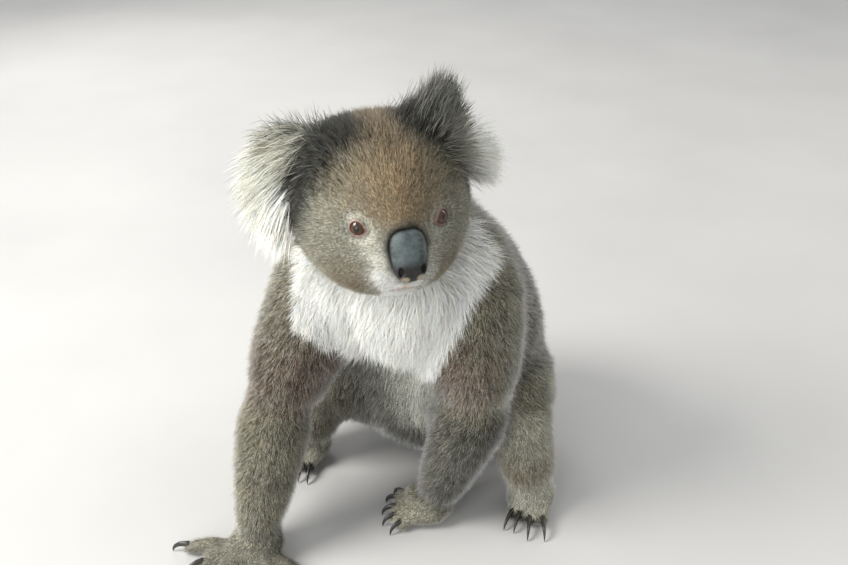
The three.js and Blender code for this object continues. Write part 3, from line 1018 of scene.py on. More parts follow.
def agouti(roots, tuft, rng, look, stations):
    """Colours along each lock: dark at the root, partly as the hair's own banding and partly as
    painted shade deep in the coat, paler to the tip, and some tips silver.

    White hair keeps one tone from root to tip, and dark hair gets little silver.
    """
    count = roots.count
    pale = smooth((roots.colour.mean(1) - 0.55) / 0.2)
    own = rng.normal(1.0, look.speckle, count) + rng.normal(0.0, 0.06, count)[tuft]
    own = 1 + (own - 1) * (1 - 0.85 * pale)
    warm = rng.normal(0.0, 0.02, count)[tuft] + rng.normal(0.0, 0.04, count)
    base = roots.colour * own.clip(0.4, 1.7)[:, None]
    base = base * np.stack([1 + warm, np.ones(count), 1 - warm], 1)
    frosted = (rng.random(count) < look.frosted)[:, None]
    bright = smooth(base.mean(1) / 0.075)
    tip = np.where(frosted, blend(base, tone("silver"), look.frost * bright), base * look.tip)
    along = np.linspace(0, 1, stations)[None, :, None]
    # A dark root: partly the hair's banding, partly painted shade among the locks.
    root = look.root + (0.9 - look.root) * pale[:, None, None]
    colours = base[:, None] * (root + (1 - root) * np.minimum(1.6 * along, 1))
    colours = colours + (tip - base)[:, None] * smooth((along - 0.35) / 0.65)
    return np.clip(colours, 0.0, 0.95)


class Look:
    """How one kind of lock is shaped and coloured."""

    def __init__(self, **values):
        self.rings = 0  # rings of corners between the root and the tip
        self.longer = 1.0  # length and width against the short coat
        self.wider = 1.0
        self.rise = 0.0  # how much more it stands up, in radians
        self.gather = (0.0, 0.10)  # how far the tips of a tuft draw together, least and most
        self.roundness = 0.5  # how much a lock is shaded as a rod rather than as skin
        self.speckle = 0.40  # how much one lock's tone differs from the next
        # A dark root is partly the hair's own banding and partly painted shade deep among the
        # locks.
        self.root = 0.30  # tone of the root and the tip against the middle
        self.tip = 1.4
        self.frosted = 0.40  # share of locks with a silver tip, and how silver it is
        self.frost = 0.55
        for name, value in values.items():
            setattr(self, name, value)


PLUSH = Look()
HEAD_PLUSH = Look(gather=(0.0, 0.12), frosted=0.3, frost=0.35, speckle=0.36)
PALE_PLUSH = Look(
    speckle=0.05, root=0.93, tip=1.03, frosted=0.0, gather=(0.0, 0.2), roundness=0.1
)
PAW_PLUSH = Look(speckle=0.48, root=0.38, frosted=0.25)
GUARD = Look(rings=1, longer=1.2, wider=0.65, rise=0.04, frosted=0.7, frost=0.8)
HEAD_GUARD = Look(rings=1, longer=1.3, wider=0.6, rise=0.06, frosted=0.4, frost=0.4, speckle=0.3)
BIB = Look(
    rings=1, longer=1.25, wider=0.85, rise=-0.1, speckle=0.05, root=0.94, tip=1.03, frosted=0.0,
    gather=(0.05, 0.28), roundness=0.1,
)
WISP = Look(rings=2, speckle=0.14, root=0.6, tip=1.1, frosted=0.5, frost=0.7)

ROOT_DEPTH = 0.8 * MM  # how far under the skin a lock starts
BEND = ((0.45, 0.38), (0.58, -0.30))  # a guard hair's two lengths, and how much each one rises


def lock_weights(faces):
    """How many locks each of some triangles gets, against the others."""
    s = skin()
    return s.areas(faces) * lie().density[s.faces[faces]].mean(1)


def draw_together(spine, tuft, gather):
    """Draws the locks of each tuft towards their leader, and their tips the most."""
    last = spine.shape[1] - 1
    for i in range(1, last + 1):
        pull = gather * (i / last) ** 1.5
        spine[:, i] += pull[:, None] * (spine[tuft, i] - spine[:, i])


def grow_locks(name, faces, count, material, seed, look):
    """One piece of the coat over some faces of the skin."""
    rng = np.random.default_rng(seed)
    roots = Roots(faces, lock_weights(faces), count, rng)
    tuft = tuft_of(roots, sizes().tuft_spacing, rng)
    side = np.cross(roots.normal, roots.flow)
    sway = rng.normal(0.0, 0.30, count) + rng.normal(0.0, 0.08, count)[tuft]
    flow = unit(roots.flow + sway[:, None] * side)
    lift = roots.lift + look.rise + rng.normal(0.0, 0.18, count) + rng.normal(0, 0.06, count)[tuft]
    length = roots.length * look.longer * rng.uniform(0.72, 1.14, count)
    length = (length * rng.normal(1, 0.07, count)[tuft])[:, None]

    def course(angle):
        """Which way locks grow that stand at an angle to the skin."""
        angle = np.clip(angle, 0.08, 1.45)[:, None]
        return flow * np.cos(angle) + roots.normal * np.sin(angle)

    stations = [roots.place - ROOT_DEPTH * roots.normal]
    for share, rise in BEND if look.rings else ((1.0, 0.0),):
        stations.append(stations[-1] + share * length * course(lift + rise))
    spine = np.stack(stations, 1)
    apart = np.linalg.norm(roots.place - roots.place[tuft], axis=1) / sizes().tuft_spacing
    draw_together(spine, tuft, rng.uniform(*look.gather, count) * smooth(2.2 - apart))
    widths = 0.5 * look.wider * roots.width[:, None] * rng.uniform(0.75, 1.25, (count, 1))
    mesh = lock_mesh(
        name, spine, widths, unit(np.cross(roots.normal, flow)), roots,
        agouti(roots, tuft, rng, look, len(stations)), look.roundness,
    )
    return add_piece(name, mesh, material)


# ---------------------------------------------------------------- wisps round the ears

# The hair of each ear fans out from here: out, ahead and up of the head's middle.
FAN_CENTRE = {"left": (50, 0, 36), "right": (38, -4, 58)}


class Spray:
    """A group of wisps: where it roots, what it leaves or seeks, and how it hangs.

    Places are out, ahead and up of the head's middle in millimetres. None roots closer than
    `beyond` to the line that runs through that middle from nose to neck. `share` is its part of
    the ear's wisps.
    """

    def __init__(
        self, at, spread, length, share, colour, leaves=None, seeks=None, hang=0.0, beyond=0
    ):
        self.at, self.spread, self.length, self.share = at, spread, length, share
        self.colour, self.leaves, self.seeks, self.hang = colour, leaves, seeks, hang
        self.beyond = beyond


SPRAYS = {
    "left": (
        Spray((52, 2, 60), 14, (24, 38), 0.32, "dark_grey", seeks=(74, -6, 122)),
        Spray((34, 6, 64), 12, (12, 24), 0.17, "charcoal", seeks=(60, -4, 108)),
        Spray((74, 4, 20), 11, (26, 44), 0.26, "white", leaves=(44, 0, 36), hang=0.16, beyond=74),
        Spray((58, 8, 44), 12, (14, 28), 0.18, "cheek", leaves=(38, -2, 34), hang=0.1),
        Spray((60, -12, 46), 15, (14, 28), 0.12, "dark_grey", leaves=(42, 6, 36)),
    ),
    "right": (
        Spray((74, 4, 44), 13, (22, 38), 0.20, "cheek", leaves=(38, -4, 62), hang=0.5, beyond=76),
        Spray((78, 4, 24), 13, (26, 46), 0.22, "silver", leaves=(42, -2, 52), hang=0.45, beyond=76),
        Spray((75, 5, 2), 11, (28, 50), 0.18, "white", leaves=(58, 0, 40), hang=0.9, beyond=73),
        Spray((54, 0, 60), 14, (8, 15), 0.22, "charcoal", seeks=(98, -4, 80)),
        Spray((56, 8, 44), 14, (11, 20), 0.14, "charcoal", leaves=(30, -4, 46), hang=0.2),
        Spray((66, -12, 40), 15, (14, 28), 0.10, "dark_grey", leaves=(44, 6, 40), hang=0.1),
    ),
}

WISP_SEED = 710
WISP_TUFTS = 4.5 * MM  # distance between tufts of wisps
WISP_HALF_WIDTHS = 0.28 * MM * np.array([[1.0, 0.8]])  # at the two rings


def grow_spray(side, number, spray, material):
    """Long fine hair that fans out of an ear, or draws together into its peak."""
    s = skin()
    rng = np.random.default_rng(WISP_SEED + 10 * number + SIDES[side])
    ear = FLESH.index("ear_" + side)
    faces = np.flatnonzero(np.isin(s.region[s.faces[:, 0]], [ear, FLESH.index("head")]))
    centres = s.places[s.faces[faces]].mean(1)
    away = np.linalg.norm(centres - Head.place(side, *spray.at), axis=1) / MM
    count = int(spray.share * sizes().wisp_count)
    x, _, up = Head.local(centres)
    allowed = (away < 2.6 * spray.spread) * smooth((np.hypot(x, up) - spray.beyond) / 5)
    roots = Roots(faces, s.areas(faces) * bell(away, spray.spread) * allowed, count, rng)
    if spray.leaves:
        out = unit(roots.place - Head.place(side, *spray.leaves))
    else:
        out = unit(Head.place(side, *spray.seeks) - roots.place)
    tuft = tuft_of(roots, WISP_TUFTS, rng)
    out = unit(out + rng.normal(0, 0.15, (count, 3)) + rng.normal(0, 0.10, (count, 3))[tuft])
    out = unit(out + 0.25 * roots.normal)
    length = rng.uniform(*spray.length, count) * MM
    hang = spray.hang * rng.uniform(0.6, 1.3, count)
    stations = [roots.place - 1.0 * MM * roots.normal]
    course = out
    steps = WISP.rings + 1
    for i in range(steps):
        stations.append(stations[-1] + (length / steps)[:, None] * course)
        course = unit(course - (hang * (i + 1) / steps)[:, None] * UP)
    spine = np.stack(stations, 1)
    draw_together(spine, tuft, rng.uniform(0.05, 0.4, count))
    widths = WISP_HALF_WIDTHS * rng.uniform(0.7, 1.3, (count, 1))
    roots.colour = blend(roots.colour, tone(spray.colour), np.full(count, 0.85))
    name = f"ear_fringe_{side}_{number + 1}"
    mesh = lock_mesh(
        name, spine, widths, unit(np.cross(roots.normal, out)), roots,
        agouti(roots, tuft, rng, WISP, steps + 1), WISP.roundness,
    )
    return add_piece(name, mesh, material)


# ---------------------------------------------------------------- eyes, nose and claws

def globe(rings, sides):
    """Directions on a sphere whose pole is +Z, and its triangles."""
    places = [(0.0, 0.0, 1.0)]
    for i in range(1, rings):
        down = math.pi * i / rings
        for j in range(sides):
            turn = 2 * math.pi * j / sides
            places.append(
                (math.sin(down) * math.cos(turn), math.sin(down) * math.sin(turn), math.cos(down))
            )
    places.append((0.0, 0.0, -1.0))
    last = len(places) - 1
    faces = []
    for j in range(sides):
        k = (j + 1) % sides
        faces.append((0, 1 + j, 1 + k))
        base = 1 + (rings - 2) * sides
        faces.append((last, base + k, base + j))
        for i in range(rings - 2):
            a, b = 1 + i * sides, 1 + (i + 1) * sides
            faces += [(a + j, b + j, b + k), (a + j, b + k, a + k)]
    return np.array(places), np.array(faces)


def make_eye(side):
    """An eyeball whose clear front bulges a little along the gaze."""
    eye = Eye(side)
    directions, faces = globe(48, 64)
    bulge = 1 + 0.05 * bell(np.arccos(directions[:, 2].clip(-1, 1)), 0.42)
    radius = eye.radius * MM * bulge[:, None] * 0.99
    basis = np.stack([eye.inward, eye.upward, eye.gaze])
    if np.linalg.det(basis) < 0:
        faces = faces[:, ::-1]
    mesh = mesh_from("eyeball_" + side, eye.centre + radius * (directions @ basis), faces)
    paint(mesh, "iris_across", directions[:, 0])
    paint(mesh, "iris_up", directions[:, 1])
    return add_piece("eyeball_" + side, mesh, eye_material(), ["eye_" + side])


NOSE_HALF = (14.7, 9.0, 21.2)  # half the width, depth and height of its pad, in millimetres
NOSE_LEAN, NOSE_ROLL = math.radians(15), math.radians(3)


def turned(a, b, angle):
    """Two coordinates, turned from the second towards the first."""
    return a * math.cos(angle) + b * math.sin(angle), b * math.cos(angle) - a * math.sin(angle)


def nostrils(x, z):
    """1 in the middle of each nostril: a comma low on each side, which curls out at both ends."""
    both = np.zeros(len(x))
    for sign in (1, -1):
        across, above = sign * x - 8.6, z + 11.0
        both = np.maximum(both, bell(across - 0.025 * above**2, 2.0) * bell(above, 3.4))
    return both


def make_nose():
    """A tall rounded shield of leather with a nostril low on each side and a cleft between."""
    directions, faces = globe(72, 96)
    x, y, z = (directions[:, [0, 2, 1]] * [1, -1, 1]).T
    squarish = np.hypot(x, z) / (np.abs(x) ** 3 + np.abs(z) ** 3 + 1e-9) ** (1 / 3)
    flare = 1 + 0.07 * z - 0.05 * z * z
    half_wide, half_deep, half_high = NOSE_HALF
    lx, lz = half_wide * flare * squarish * x, half_high * squarish * z
    front = smooth(-y / 0.35)
    nostril = nostrils(lx, lz)
    cleft = bell(lx, 0.9) * smooth((-9 - lz) / 6)
    rim = bell(nostril - 0.45, 0.16)
    dent = 3.6 * smooth((nostril - 0.35) / 0.5) + 0.8 * cleft - 0.5 * rim
    bridge = 0.8 * bell(lx, 6) * smooth((lz - 4) / 14)
    back, upward = turned(half_deep * y + front * (dent - bridge), lz, NOSE_LEAN)
    upward, across = turned(upward, lx, NOSE_ROLL)
    places = Head.nose + MM * (
        np.outer(across, Head.left) - np.outer(back, Head.ahead) + np.outer(upward, UP)
    )
    if (face_normals(places, faces) * (places[faces[:, 0]] - Head.nose)).sum() < 0:
        faces = faces[:, ::-1]
    mesh = mesh_from("nose_pad", places, faces)
    edge = smooth((y + 0.45) / 0.35)
    # The dark edge of the pad, and painted shade in the nostrils.
    paint(mesh, "nose_rim", np.clip(edge + 0.8 * smooth(nostril * 2 - 0.6), 0, 1))
    paint(mesh, "nose_low", smooth((-1 - lz) / 9))
    # A painted highlight high on her right of the pad.
    paint(mesh, "nose_painted_highlight", bell(np.hypot(lx + 4, 0.6 * (lz - 4)), 8))
    pale = smooth((3.4 - np.hypot(0.75 * (np.abs(lx) - 6.6), lz + 18.3)) / 1.4) * front
    paint(mesh, "nose_pale", pale)
    return add_piece("nose_pad", mesh, nose_material(), ["nose"])


CLAW_HALF_WIDE, CLAW_HALF_DEEP = 2.7 * MM, 3.7 * MM  # at the root
CLAW_RINGS, CLAW_SIDES = 14, 12


def claw_course(node, paw):
    """A claw's root, set back into its toe, its tip, and the level direction it points in."""
    places, _ = welded(node)
    away = np.linalg.norm((places - middle(paw)) * [1, 1, 0], axis=1)
    tip = places[np.argmax(away - 0.6 * places[:, 2])]
    root = places[np.argsort(np.linalg.norm(places - tip, axis=1))[-8:]].mean(0)
    level = unit((tip - root) * [1, 1, 0])
    return root - 5 * MM * level + 0.8 * MM * UP, tip, level


def claw_places(root, tip, level):
    """Rings of corners from a claw's root to its tip, and how far along it each one is.

    The claw leaves its toe level and arches over and down. It is deeper than wide, with a ridge
    along its back.
    """
    across = np.cross(level, UP)
    ahead, fall = (tip - root) @ level, (tip - root)[2]
    places, along = [], []
    for i in range(CLAW_RINGS + 1):
        t = i / CLAW_RINGS
        bend, turned_down = math.sin(math.pi / 2 * t), math.cos(math.pi / 2 * t)
        arch = 1.6 * MM * math.sin(math.pi * t)
        centre = root + level * ahead * bend + UP * (arch + fall * (1 - turned_down))
        over = np.cross(across, unit(level * ahead * turned_down + UP * fall * bend))
        taper = (1 - t) ** 0.75 + 0.02
        for j in range(CLAW_SIDES):
            turn = 2 * math.pi * j / CLAW_SIDES
            ridge = 1 + 0.14 * bell(abs(math.sin(turn / 2 - math.pi / 4)), 0.25)
            places.append(
                centre + CLAW_HALF_WIDE * taper * math.cos(turn) * across
                + CLAW_HALF_DEEP * taper * ridge * math.sin(turn) * over
            )
            along.append(t)
    places = np.array(places)
    places[:, 2] = np.maximum(places[:, 2], 0.0)
    return places, along


def claw_faces():
    """Triangles of a claw's sides, its root and its blunt tip."""
    faces = []
    for i in range(CLAW_RINGS):
        for j in range(CLAW_SIDES):
            k = (j + 1) % CLAW_SIDES
            a, b = i * CLAW_SIDES, (i + 1) * CLAW_SIDES
            faces += [(a + j, b + j, b + k), (a + j, b + k, a + k)]
    faces += [(0, j, j + 1) for j in range(1, CLAW_SIDES - 1)]
    end = CLAW_RINGS * CLAW_SIDES
    faces += [(end, end + j + 1, end + j) for j in range(1, CLAW_SIDES - 1)]
    return np.array(faces)


def make_claws(limb):
    """The curved claws of one paw, as one piece."""
    nodes = claws_of(limb)
    bodies, every_along = [], []
    for node in nodes:
        places, along = claw_places(*claw_course(node, limb))
        faces = claw_faces()
        inner = places[: CLAW_SIDES * (CLAW_RINGS // 2)].mean(0)
        if (face_normals(places, faces) * (places[faces[:, 0]] - inner)).sum() < 0:
            faces = faces[:, ::-1]
        bodies.append((places, faces))
        every_along += along
    mesh = mesh_from("claws_" + limb, *joined(bodies))
    paint(mesh, "claw_along", np.array(every_along))
    return add_piece("claws_" + limb, mesh, claw_material(), nodes)


# ---------------------------------------------------------------- materials

def node_group(name, inputs, outputs):
    """An empty shader group with the named sockets, as (group, input node, output node)."""
    group = bpy.data.node_groups.new(name, "ShaderNodeTree")
    for label, socket_kind, default in inputs:
        made = group.interface.new_socket(name=label, in_out="INPUT", socket_type=socket_kind)
        if default is not None:
            made.default_value = default
    for label, socket_kind in outputs:
        group.interface.new_socket(name=label, in_out="OUTPUT", socket_type=socket_kind)
    return group, group.nodes.new("NodeGroupInput"), group.nodes.new("NodeGroupOutput")


def feed(tree, socket, value):
    """Sets a socket to a number or a colour, or links another socket to it."""
    if isinstance(value, (int, float)):
        socket.default_value = value
    elif isinstance(value, (tuple, np.ndarray)):
        socket.default_value = (*value, 1.0)
    else:
        tree.links.new(value, socket)


def math_node(tree, operation, *values):
    """One sum on numbers or sockets, as the socket of its result."""
    node = tree.nodes.new("ShaderNodeMath")
    node.operation = operation
    for socket, value in zip(node.inputs, values):
        feed(tree, socket, value)
    return node.outputs[0]


def noise_node(tree, vector, scale, detail=3.0, roughness=0.5):
    """Cloudy noise around 0.5, as a socket."""
    node = tree.nodes.new("ShaderNodeTexNoise")
    node.inputs["Detail"].default_value = detail
    node.inputs["Roughness"].default_value = roughness
    feed(tree, node.inputs["Scale"], scale)
    tree.links.new(vector, node.inputs["Vector"])
    return node.outputs["Fac"]


def range_node(tree, value, from_low, from_high, to_low, to_high):
    """A value moved from one range to another and kept inside it, as a socket."""
    node = tree.nodes.new("ShaderNodeMapRange")
    for label, setting in (
        ("From Min", from_low), ("From Max", from_high), ("To Min", to_low), ("To Max", to_high),
    ):
        feed(tree, node.inputs[label], setting)
    tree.links.new(value, node.inputs["Value"])
    return node.outputs["Result"]


def mix_node(tree, blend_type, factor, a, b):
    """Two colours mixed, as a socket."""
    node = tree.nodes.new("ShaderNodeMix")
    node.data_type = "RGBA"
    node.blend_type = blend_type
    for label, value in (("Factor", factor), ("A", a), ("B", b)):
        feed(tree, next(s for s in node.inputs if s.name == label and s.enabled), value)
    return next(s for s in node.outputs if s.enabled)


def attribute(tree, name, output):
    """What paint() stored under a name, as a socket."""
    node = tree.nodes.new("ShaderNodeAttribute")
    node.attribute_name = name
    return node.outputs[output]


def same_grey(tree, value):
    """A colour with one value in all its channels."""
    grey = tree.nodes.new("ShaderNodeCombineColor")
    for socket in grey.inputs:
        tree.links.new(value, socket)
    return grey.outputs[0]


def fleck_group():
    """Mottles a coat colour in large drifts and small flecks, and a white coat only a little, and
    darkens it towards the root of each lock as painted shade.
    """
    name = "Coat Fleck"
    if name in bpy.data.node_groups:
        return bpy.data.node_groups[name]
    group, given, result = node_group(
        name,
        [
            ("Colour", "NodeSocketColor", None),
            ("Along", "NodeSocketFloat", 0.5),
            ("Drift Scale", "NodeSocketFloat", 34.0),
            ("Fleck Scale", "NodeSocketFloat", 560.0),
            ("Contrast", "NodeSocketFloat", 0.3),
        ],
        [
            ("Colour", "NodeSocketColor"),
            ("Roughness", "NodeSocketFloat"),
            ("Height", "NodeSocketFloat"),
        ],
    )
    place = group.nodes.new("ShaderNodeTexCoord").outputs["Object"]
    drift = noise_node(group, place, given.outputs["Drift Scale"], 4.0, 0.6)
    fleck = noise_node(group, place, given.outputs["Fleck Scale"], 2.0, 0.5)
    tone_of = group.nodes.new("ShaderNodeRGBToBW")
    group.links.new(given.outputs["Colour"], tone_of.inputs["Color"])
    even = range_node(group, tone_of.outputs["Val"], 0.5, 0.8, 1.0, 0.15)
    contrast = math_node(group, "MULTIPLY", given.outputs["Contrast"], even)
    mild = math_node(group, "MULTIPLY", contrast, 0.25)
    strong = math_node(group, "MULTIPLY", contrast, 0.85)
    drifting, flecked = (
        range_node(
            group, noise, low, 1 - low,
            math_node(group, "SUBTRACT", 1.0, half), math_node(group, "ADD", 1.0, half),
        )
        for noise, low, half in ((drift, 0.32, mild), (fleck, 0.3, strong))
    )
    both = math_node(group, "MULTIPLY", drifting, flecked)
    # Painted shade: darker towards the root of each lock.
    root_shade = range_node(group, given.outputs["Along"], 0.0, 1.0, 0.86, 1.08)
    total = math_node(group, "MULTIPLY", both, root_shade)
    colour = mix_node(group, "MULTIPLY", 1.0, given.outputs["Colour"], same_grey(group, total))
    group.links.new(colour, result.inputs["Colour"])
    group.links.new(range_node(group, fleck, 0.2, 0.8, 0.62, 0.86), result.inputs["Roughness"])
    group.links.new(fleck, result.inputs["Height"])
    return group


def leather_group():
    """Pebbled grain with fine cracks, for the nose and the bare skin."""
    name = "Leather Grain"
    if name in bpy.data.node_groups:
        return bpy.data.node_groups[name]
    group, given, result = node_group(
        name,
        [("Scale", "NodeSocketFloat", 900.0), ("Depth", "NodeSocketFloat", 0.5)],
        [("Height", "NodeSocketFloat"), ("Mask", "NodeSocketFloat")],
    )
    place = group.nodes.new("ShaderNodeTexCoord").outputs["Object"]
    cells = group.nodes.new("ShaderNodeTexVoronoi")
    cells.feature = "DISTANCE_TO_EDGE"
    group.links.new(given.outputs["Scale"], cells.inputs["Scale"])
    group.links.new(place, cells.inputs["Vector"])
    pebble = range_node(group, cells.outputs["Distance"], 0.0, 0.35, 0.0, 1.0)
    soft = noise_node(group, place, 260.0, 3.0)
    pebbled = math_node(group, "MULTIPLY", pebble, given.outputs["Depth"])
    group.links.new(math_node(group, "ADD", pebbled, soft), result.inputs["Height"])
    group.links.new(pebble, result.inputs["Mask"])
    return group


def new_material(name):
    """A new material, its node tree and its shader."""
    material = bpy.data.materials.new(name)
    material.use_nodes = True
    tree = material.node_tree
    shader = next(n for n in tree.nodes if n.type == "BSDF_PRINCIPLED")
    return material, tree, shader


def placed_group(tree, group, **values):
    """A node group in a material, with its inputs set by their names."""
    node = tree.nodes.new("ShaderNodeGroup")
    node.node_tree = group
    for label, value in values.items():
        feed(tree, node.inputs[label], value)
    return node


def bump(tree, shader, height, strength, distance):
    """Roughens a shader's surface by a height."""
    node = tree.nodes.new("ShaderNodeBump")
    node.inputs["Strength"].default_value = strength
    node.inputs["Distance"].default_value = distance
    tree.links.new(height, node.inputs["Height"])
    tree.links.new(node.outputs["Normal"], shader.inputs["Normal"])


# How strongly each material of the coat is mottled, and how much sheen it has.
COAT_LOOKS = {
    "coat_head": (0.62, 0.08),
    "coat_fringe": (0.14, 0.15),
    "coat_grey": (0.85, 0.7),
    "coat_white": (0.06, 0.2),
    "coat_pale": (1.0, 0.5),
}


def coat_material(name):
    """Hair whose colour is its marking, mottled by the fleck group."""
    if name in bpy.data.materials:
        return bpy.data.materials[name]
    contrast, sheen = COAT_LOOKS[name]
    material, tree, shader = new_material(name)
    group = placed_group(
        tree, fleck_group(), Colour=attribute(tree, COLOUR, "Color"),
        Along=attribute(tree, ALONG, "Fac"), Contrast=contrast,
    )
    tree.links.new(group.outputs["Colour"], shader.inputs["Base Color"])
    tree.links.new(group.outputs["Roughness"], shader.inputs["Roughness"])
    shader.inputs["Specular IOR Level"].default_value = 0.22
    shader.inputs["Sheen Weight"].default_value = sheen
    shader.inputs["Sheen Roughness"].default_value = 0.42
    return material


def skin_material():
    """The skin under the coat, matt where hair covers it and moist where it is bare."""
    material, tree, shader = new_material("skin")
    # The fleck group's darkening towards the root, at 0.35 along, also gives the skin painted
    # shade.
    group = placed_group(
        tree, fleck_group(), Colour=attribute(tree, COLOUR, "Color"), Contrast=0.3,
        Along=0.35,
    )
    grain = placed_group(tree, leather_group(), Scale=700.0, Depth=0.4)
    tree.links.new(group.outputs["Colour"], shader.inputs["Base Color"])
    moist = attribute(tree, MOIST, "Fac")
    rough = range_node(tree, moist, 0.0, 1.0, group.outputs["Roughness"], 0.3)
    tree.links.new(rough, shader.inputs["Roughness"])
    height = math_node(tree, "ADD", group.outputs["Height"], grain.outputs["Height"])
    bump(tree, shader, height, 0.35, 0.0006)
    shader.inputs["Specular IOR Level"].default_value = 0.3
    return material


def oval(tree, across, upward, half_wide, half_high):
    """0 in the middle of an oval and 1 on its edge, as a socket."""
    squares = []
    for value, half in ((across, half_wide), (upward, half_high)):
        share = math_node(tree, "DIVIDE", math_node(tree, "ABSOLUTE", value), half)
        squares.append(math_node(tree, "POWER", share, 2.0))
    return math_node(tree, "SQRT", math_node(tree, "ADD", *squares))


def eye_material():
    """Dark pupil, brown fibred iris, dark rim, all under a clear wet coat."""
    name = "eye_glass"
    if name in bpy.data.materials:
        return bpy.data.materials[name]
    material, tree, shader = new_material(name)
    across = attribute(tree, "iris_across", "Fac")
    upward = attribute(tree, "iris_up", "Fac")
    radius = oval(tree, across, upward, 1.0, 1.0)
    turn = math_node(tree, "ARCTAN2", upward, across)
    place = tree.nodes.new("ShaderNodeCombineXYZ")
    tree.links.new(math_node(tree, "MULTIPLY", turn, 7.0), place.inputs["X"])
    tree.links.new(math_node(tree, "MULTIPLY", radius, 3.0), place.inputs["Y"])
    fibres = noise_node(tree, place.outputs[0], 3.0, 4.0, 0.6)
    amber = np.clip(tone("iris") * [2.4, 2.5, 2.0], 0, 1)
    fibrous = range_node(tree, fibres, 0.35, 0.65, 0.0, 1.0)
    colour = mix_node(tree, "MIX", fibrous, tone("iris"), amber)
    low = range_node(tree, upward, -0.45, 0.15, 1.0, 0.0)
    colour = mix_node(tree, "MIX", low, colour, amber)
    limbus = range_node(tree, radius, 0.58, 0.78, 0.0, 1.0)
    colour = mix_node(tree, "MIX", limbus, colour, (0.02, 0.012, 0.010))
    white = range_node(tree, radius, 0.84, 0.90, 0.0, 1.0)
    colour = mix_node(tree, "MIX", white, colour, (0.22, 0.11, 0.09))
    pupil = range_node(tree, oval(tree, across, upward, 0.24, 0.46), 0.7, 1.5, 1.0, 0.0)
    colour = mix_node(tree, "MIX", pupil, colour, (0.004, 0.003, 0.003))
    tree.links.new(colour, shader.inputs["Base Color"])
    tree.links.new(range_node(tree, fibres, 0.3, 0.7, 0.25, 0.4), shader.inputs["Roughness"])
    shader.inputs["Specular IOR Level"].default_value = 0.1
    shader.inputs["Coat Weight"].default_value = 0.75
    shader.inputs["Coat Roughness"].default_value = 0.07
    return material


def nose_material():
    """Blue-black leather in patches, darker low down, with a pale spot under each nostril, painted
    shade in the nostrils and a painted highlight high on her right.
    """
    material, tree, shader = new_material("nose_leather")
    grain = placed_group(tree, leather_group(), Scale=820.0, Depth=0.6)
    place = tree.nodes.new("ShaderNodeTexCoord").outputs["Object"]
    patches = noise_node(tree, place, 170.0, 5.0, 0.7)
    base = tone("nose")
    patchy = range_node(tree, patches, 0.38, 0.62, 0.0, 1.0)
    colour = mix_node(tree, "MIX", patchy, base * 0.4, base * 1.7)
    # Painted highlight.
    light = range_node(tree, attribute(tree, "nose_painted_highlight", "Fac"), 0.0, 1.0, 0.0, 0.6)
    colour = mix_node(tree, "MIX", light, colour, base * 1.9)
    low = range_node(tree, attribute(tree, "nose_low", "Fac"), 0.0, 1.0, 0.0, 0.92)
    colour = mix_node(tree, "MIX", low, colour, (0.011, 0.009, 0.008))
    # The dark rim of the leather, and painted shade in the nostrils.
    rim = range_node(tree, attribute(tree, "nose_rim", "Fac"), 0.0, 1.0, 0.0, 0.85)
    colour = mix_node(tree, "MIX", rim, colour, (0.012, 0.010, 0.009))
    pale = range_node(tree, attribute(tree, "nose_pale", "Fac"), 0.0, 1.0, 0.0, 0.8)
    colour = mix_node(tree, "MIX", pale, colour, (0.42, 0.34, 0.25))
    pores = range_node(tree, grain.outputs["Mask"], 0.0, 0.5, 0.72, 1.0)
    colour = mix_node(tree, "MULTIPLY", 1.0, colour, same_grey(tree, pores))
    tree.links.new(colour, shader.inputs["Base Color"])
    tree.links.new(range_node(tree, patches, 0.3, 0.7, 0.38, 0.55), shader.inputs["Roughness"])
    bump(tree, shader, grain.outputs["Height"], 0.5, 0.0005)
    shader.inputs["Specular IOR Level"].default_value = 0.36
    return material


def claw_material():
    """Dark horn with fine streaks, paler at the tip."""
    name = "claw_horn"
    if name in bpy.data.materials:
        return bpy.data.materials[name]
    material, tree, shader = new_material(name)
    place = tree.nodes.new("ShaderNodeTexCoord").outputs["Object"]
    stretch = tree.nodes.new("ShaderNodeVectorMath")
    stretch.operation = "MULTIPLY"
    stretch.inputs[1].default_value = (1.0, 0.15, 1.0)
    tree.links.new(place, stretch.inputs[0])
    streaks = noise_node(tree, stretch.outputs[0], 900.0, 4.0, 0.6)
    base = tone("claw")
    streaky = range_node(tree, streaks, 0.35, 0.7, 0.0, 1.0)
    colour = mix_node(tree, "MIX", streaky, base, base * 2.4)
    tip = range_node(tree, attribute(tree, "claw_along", "Fac"), 0.6, 1.0, 0.0, 0.5)
    colour = mix_node(tree, "MIX", tip, colour, (0.11, 0.095, 0.075))
    tree.links.new(colour, shader.inputs["Base Color"])
    tree.links.new(range_node(tree, streaks, 0.3, 0.7, 0.28, 0.5), shader.inputs["Roughness"])
    bump(tree, shader, streaks, 0.3, 0.0003)
    return material


# ---------------------------------------------------------------- making each group of pieces

# Painted shade: the bare skin round her left eye is darkened.
LID_SHADE = {"left": 0.85, "right": 0.0}  # how much the bare skin round each eye is darkened


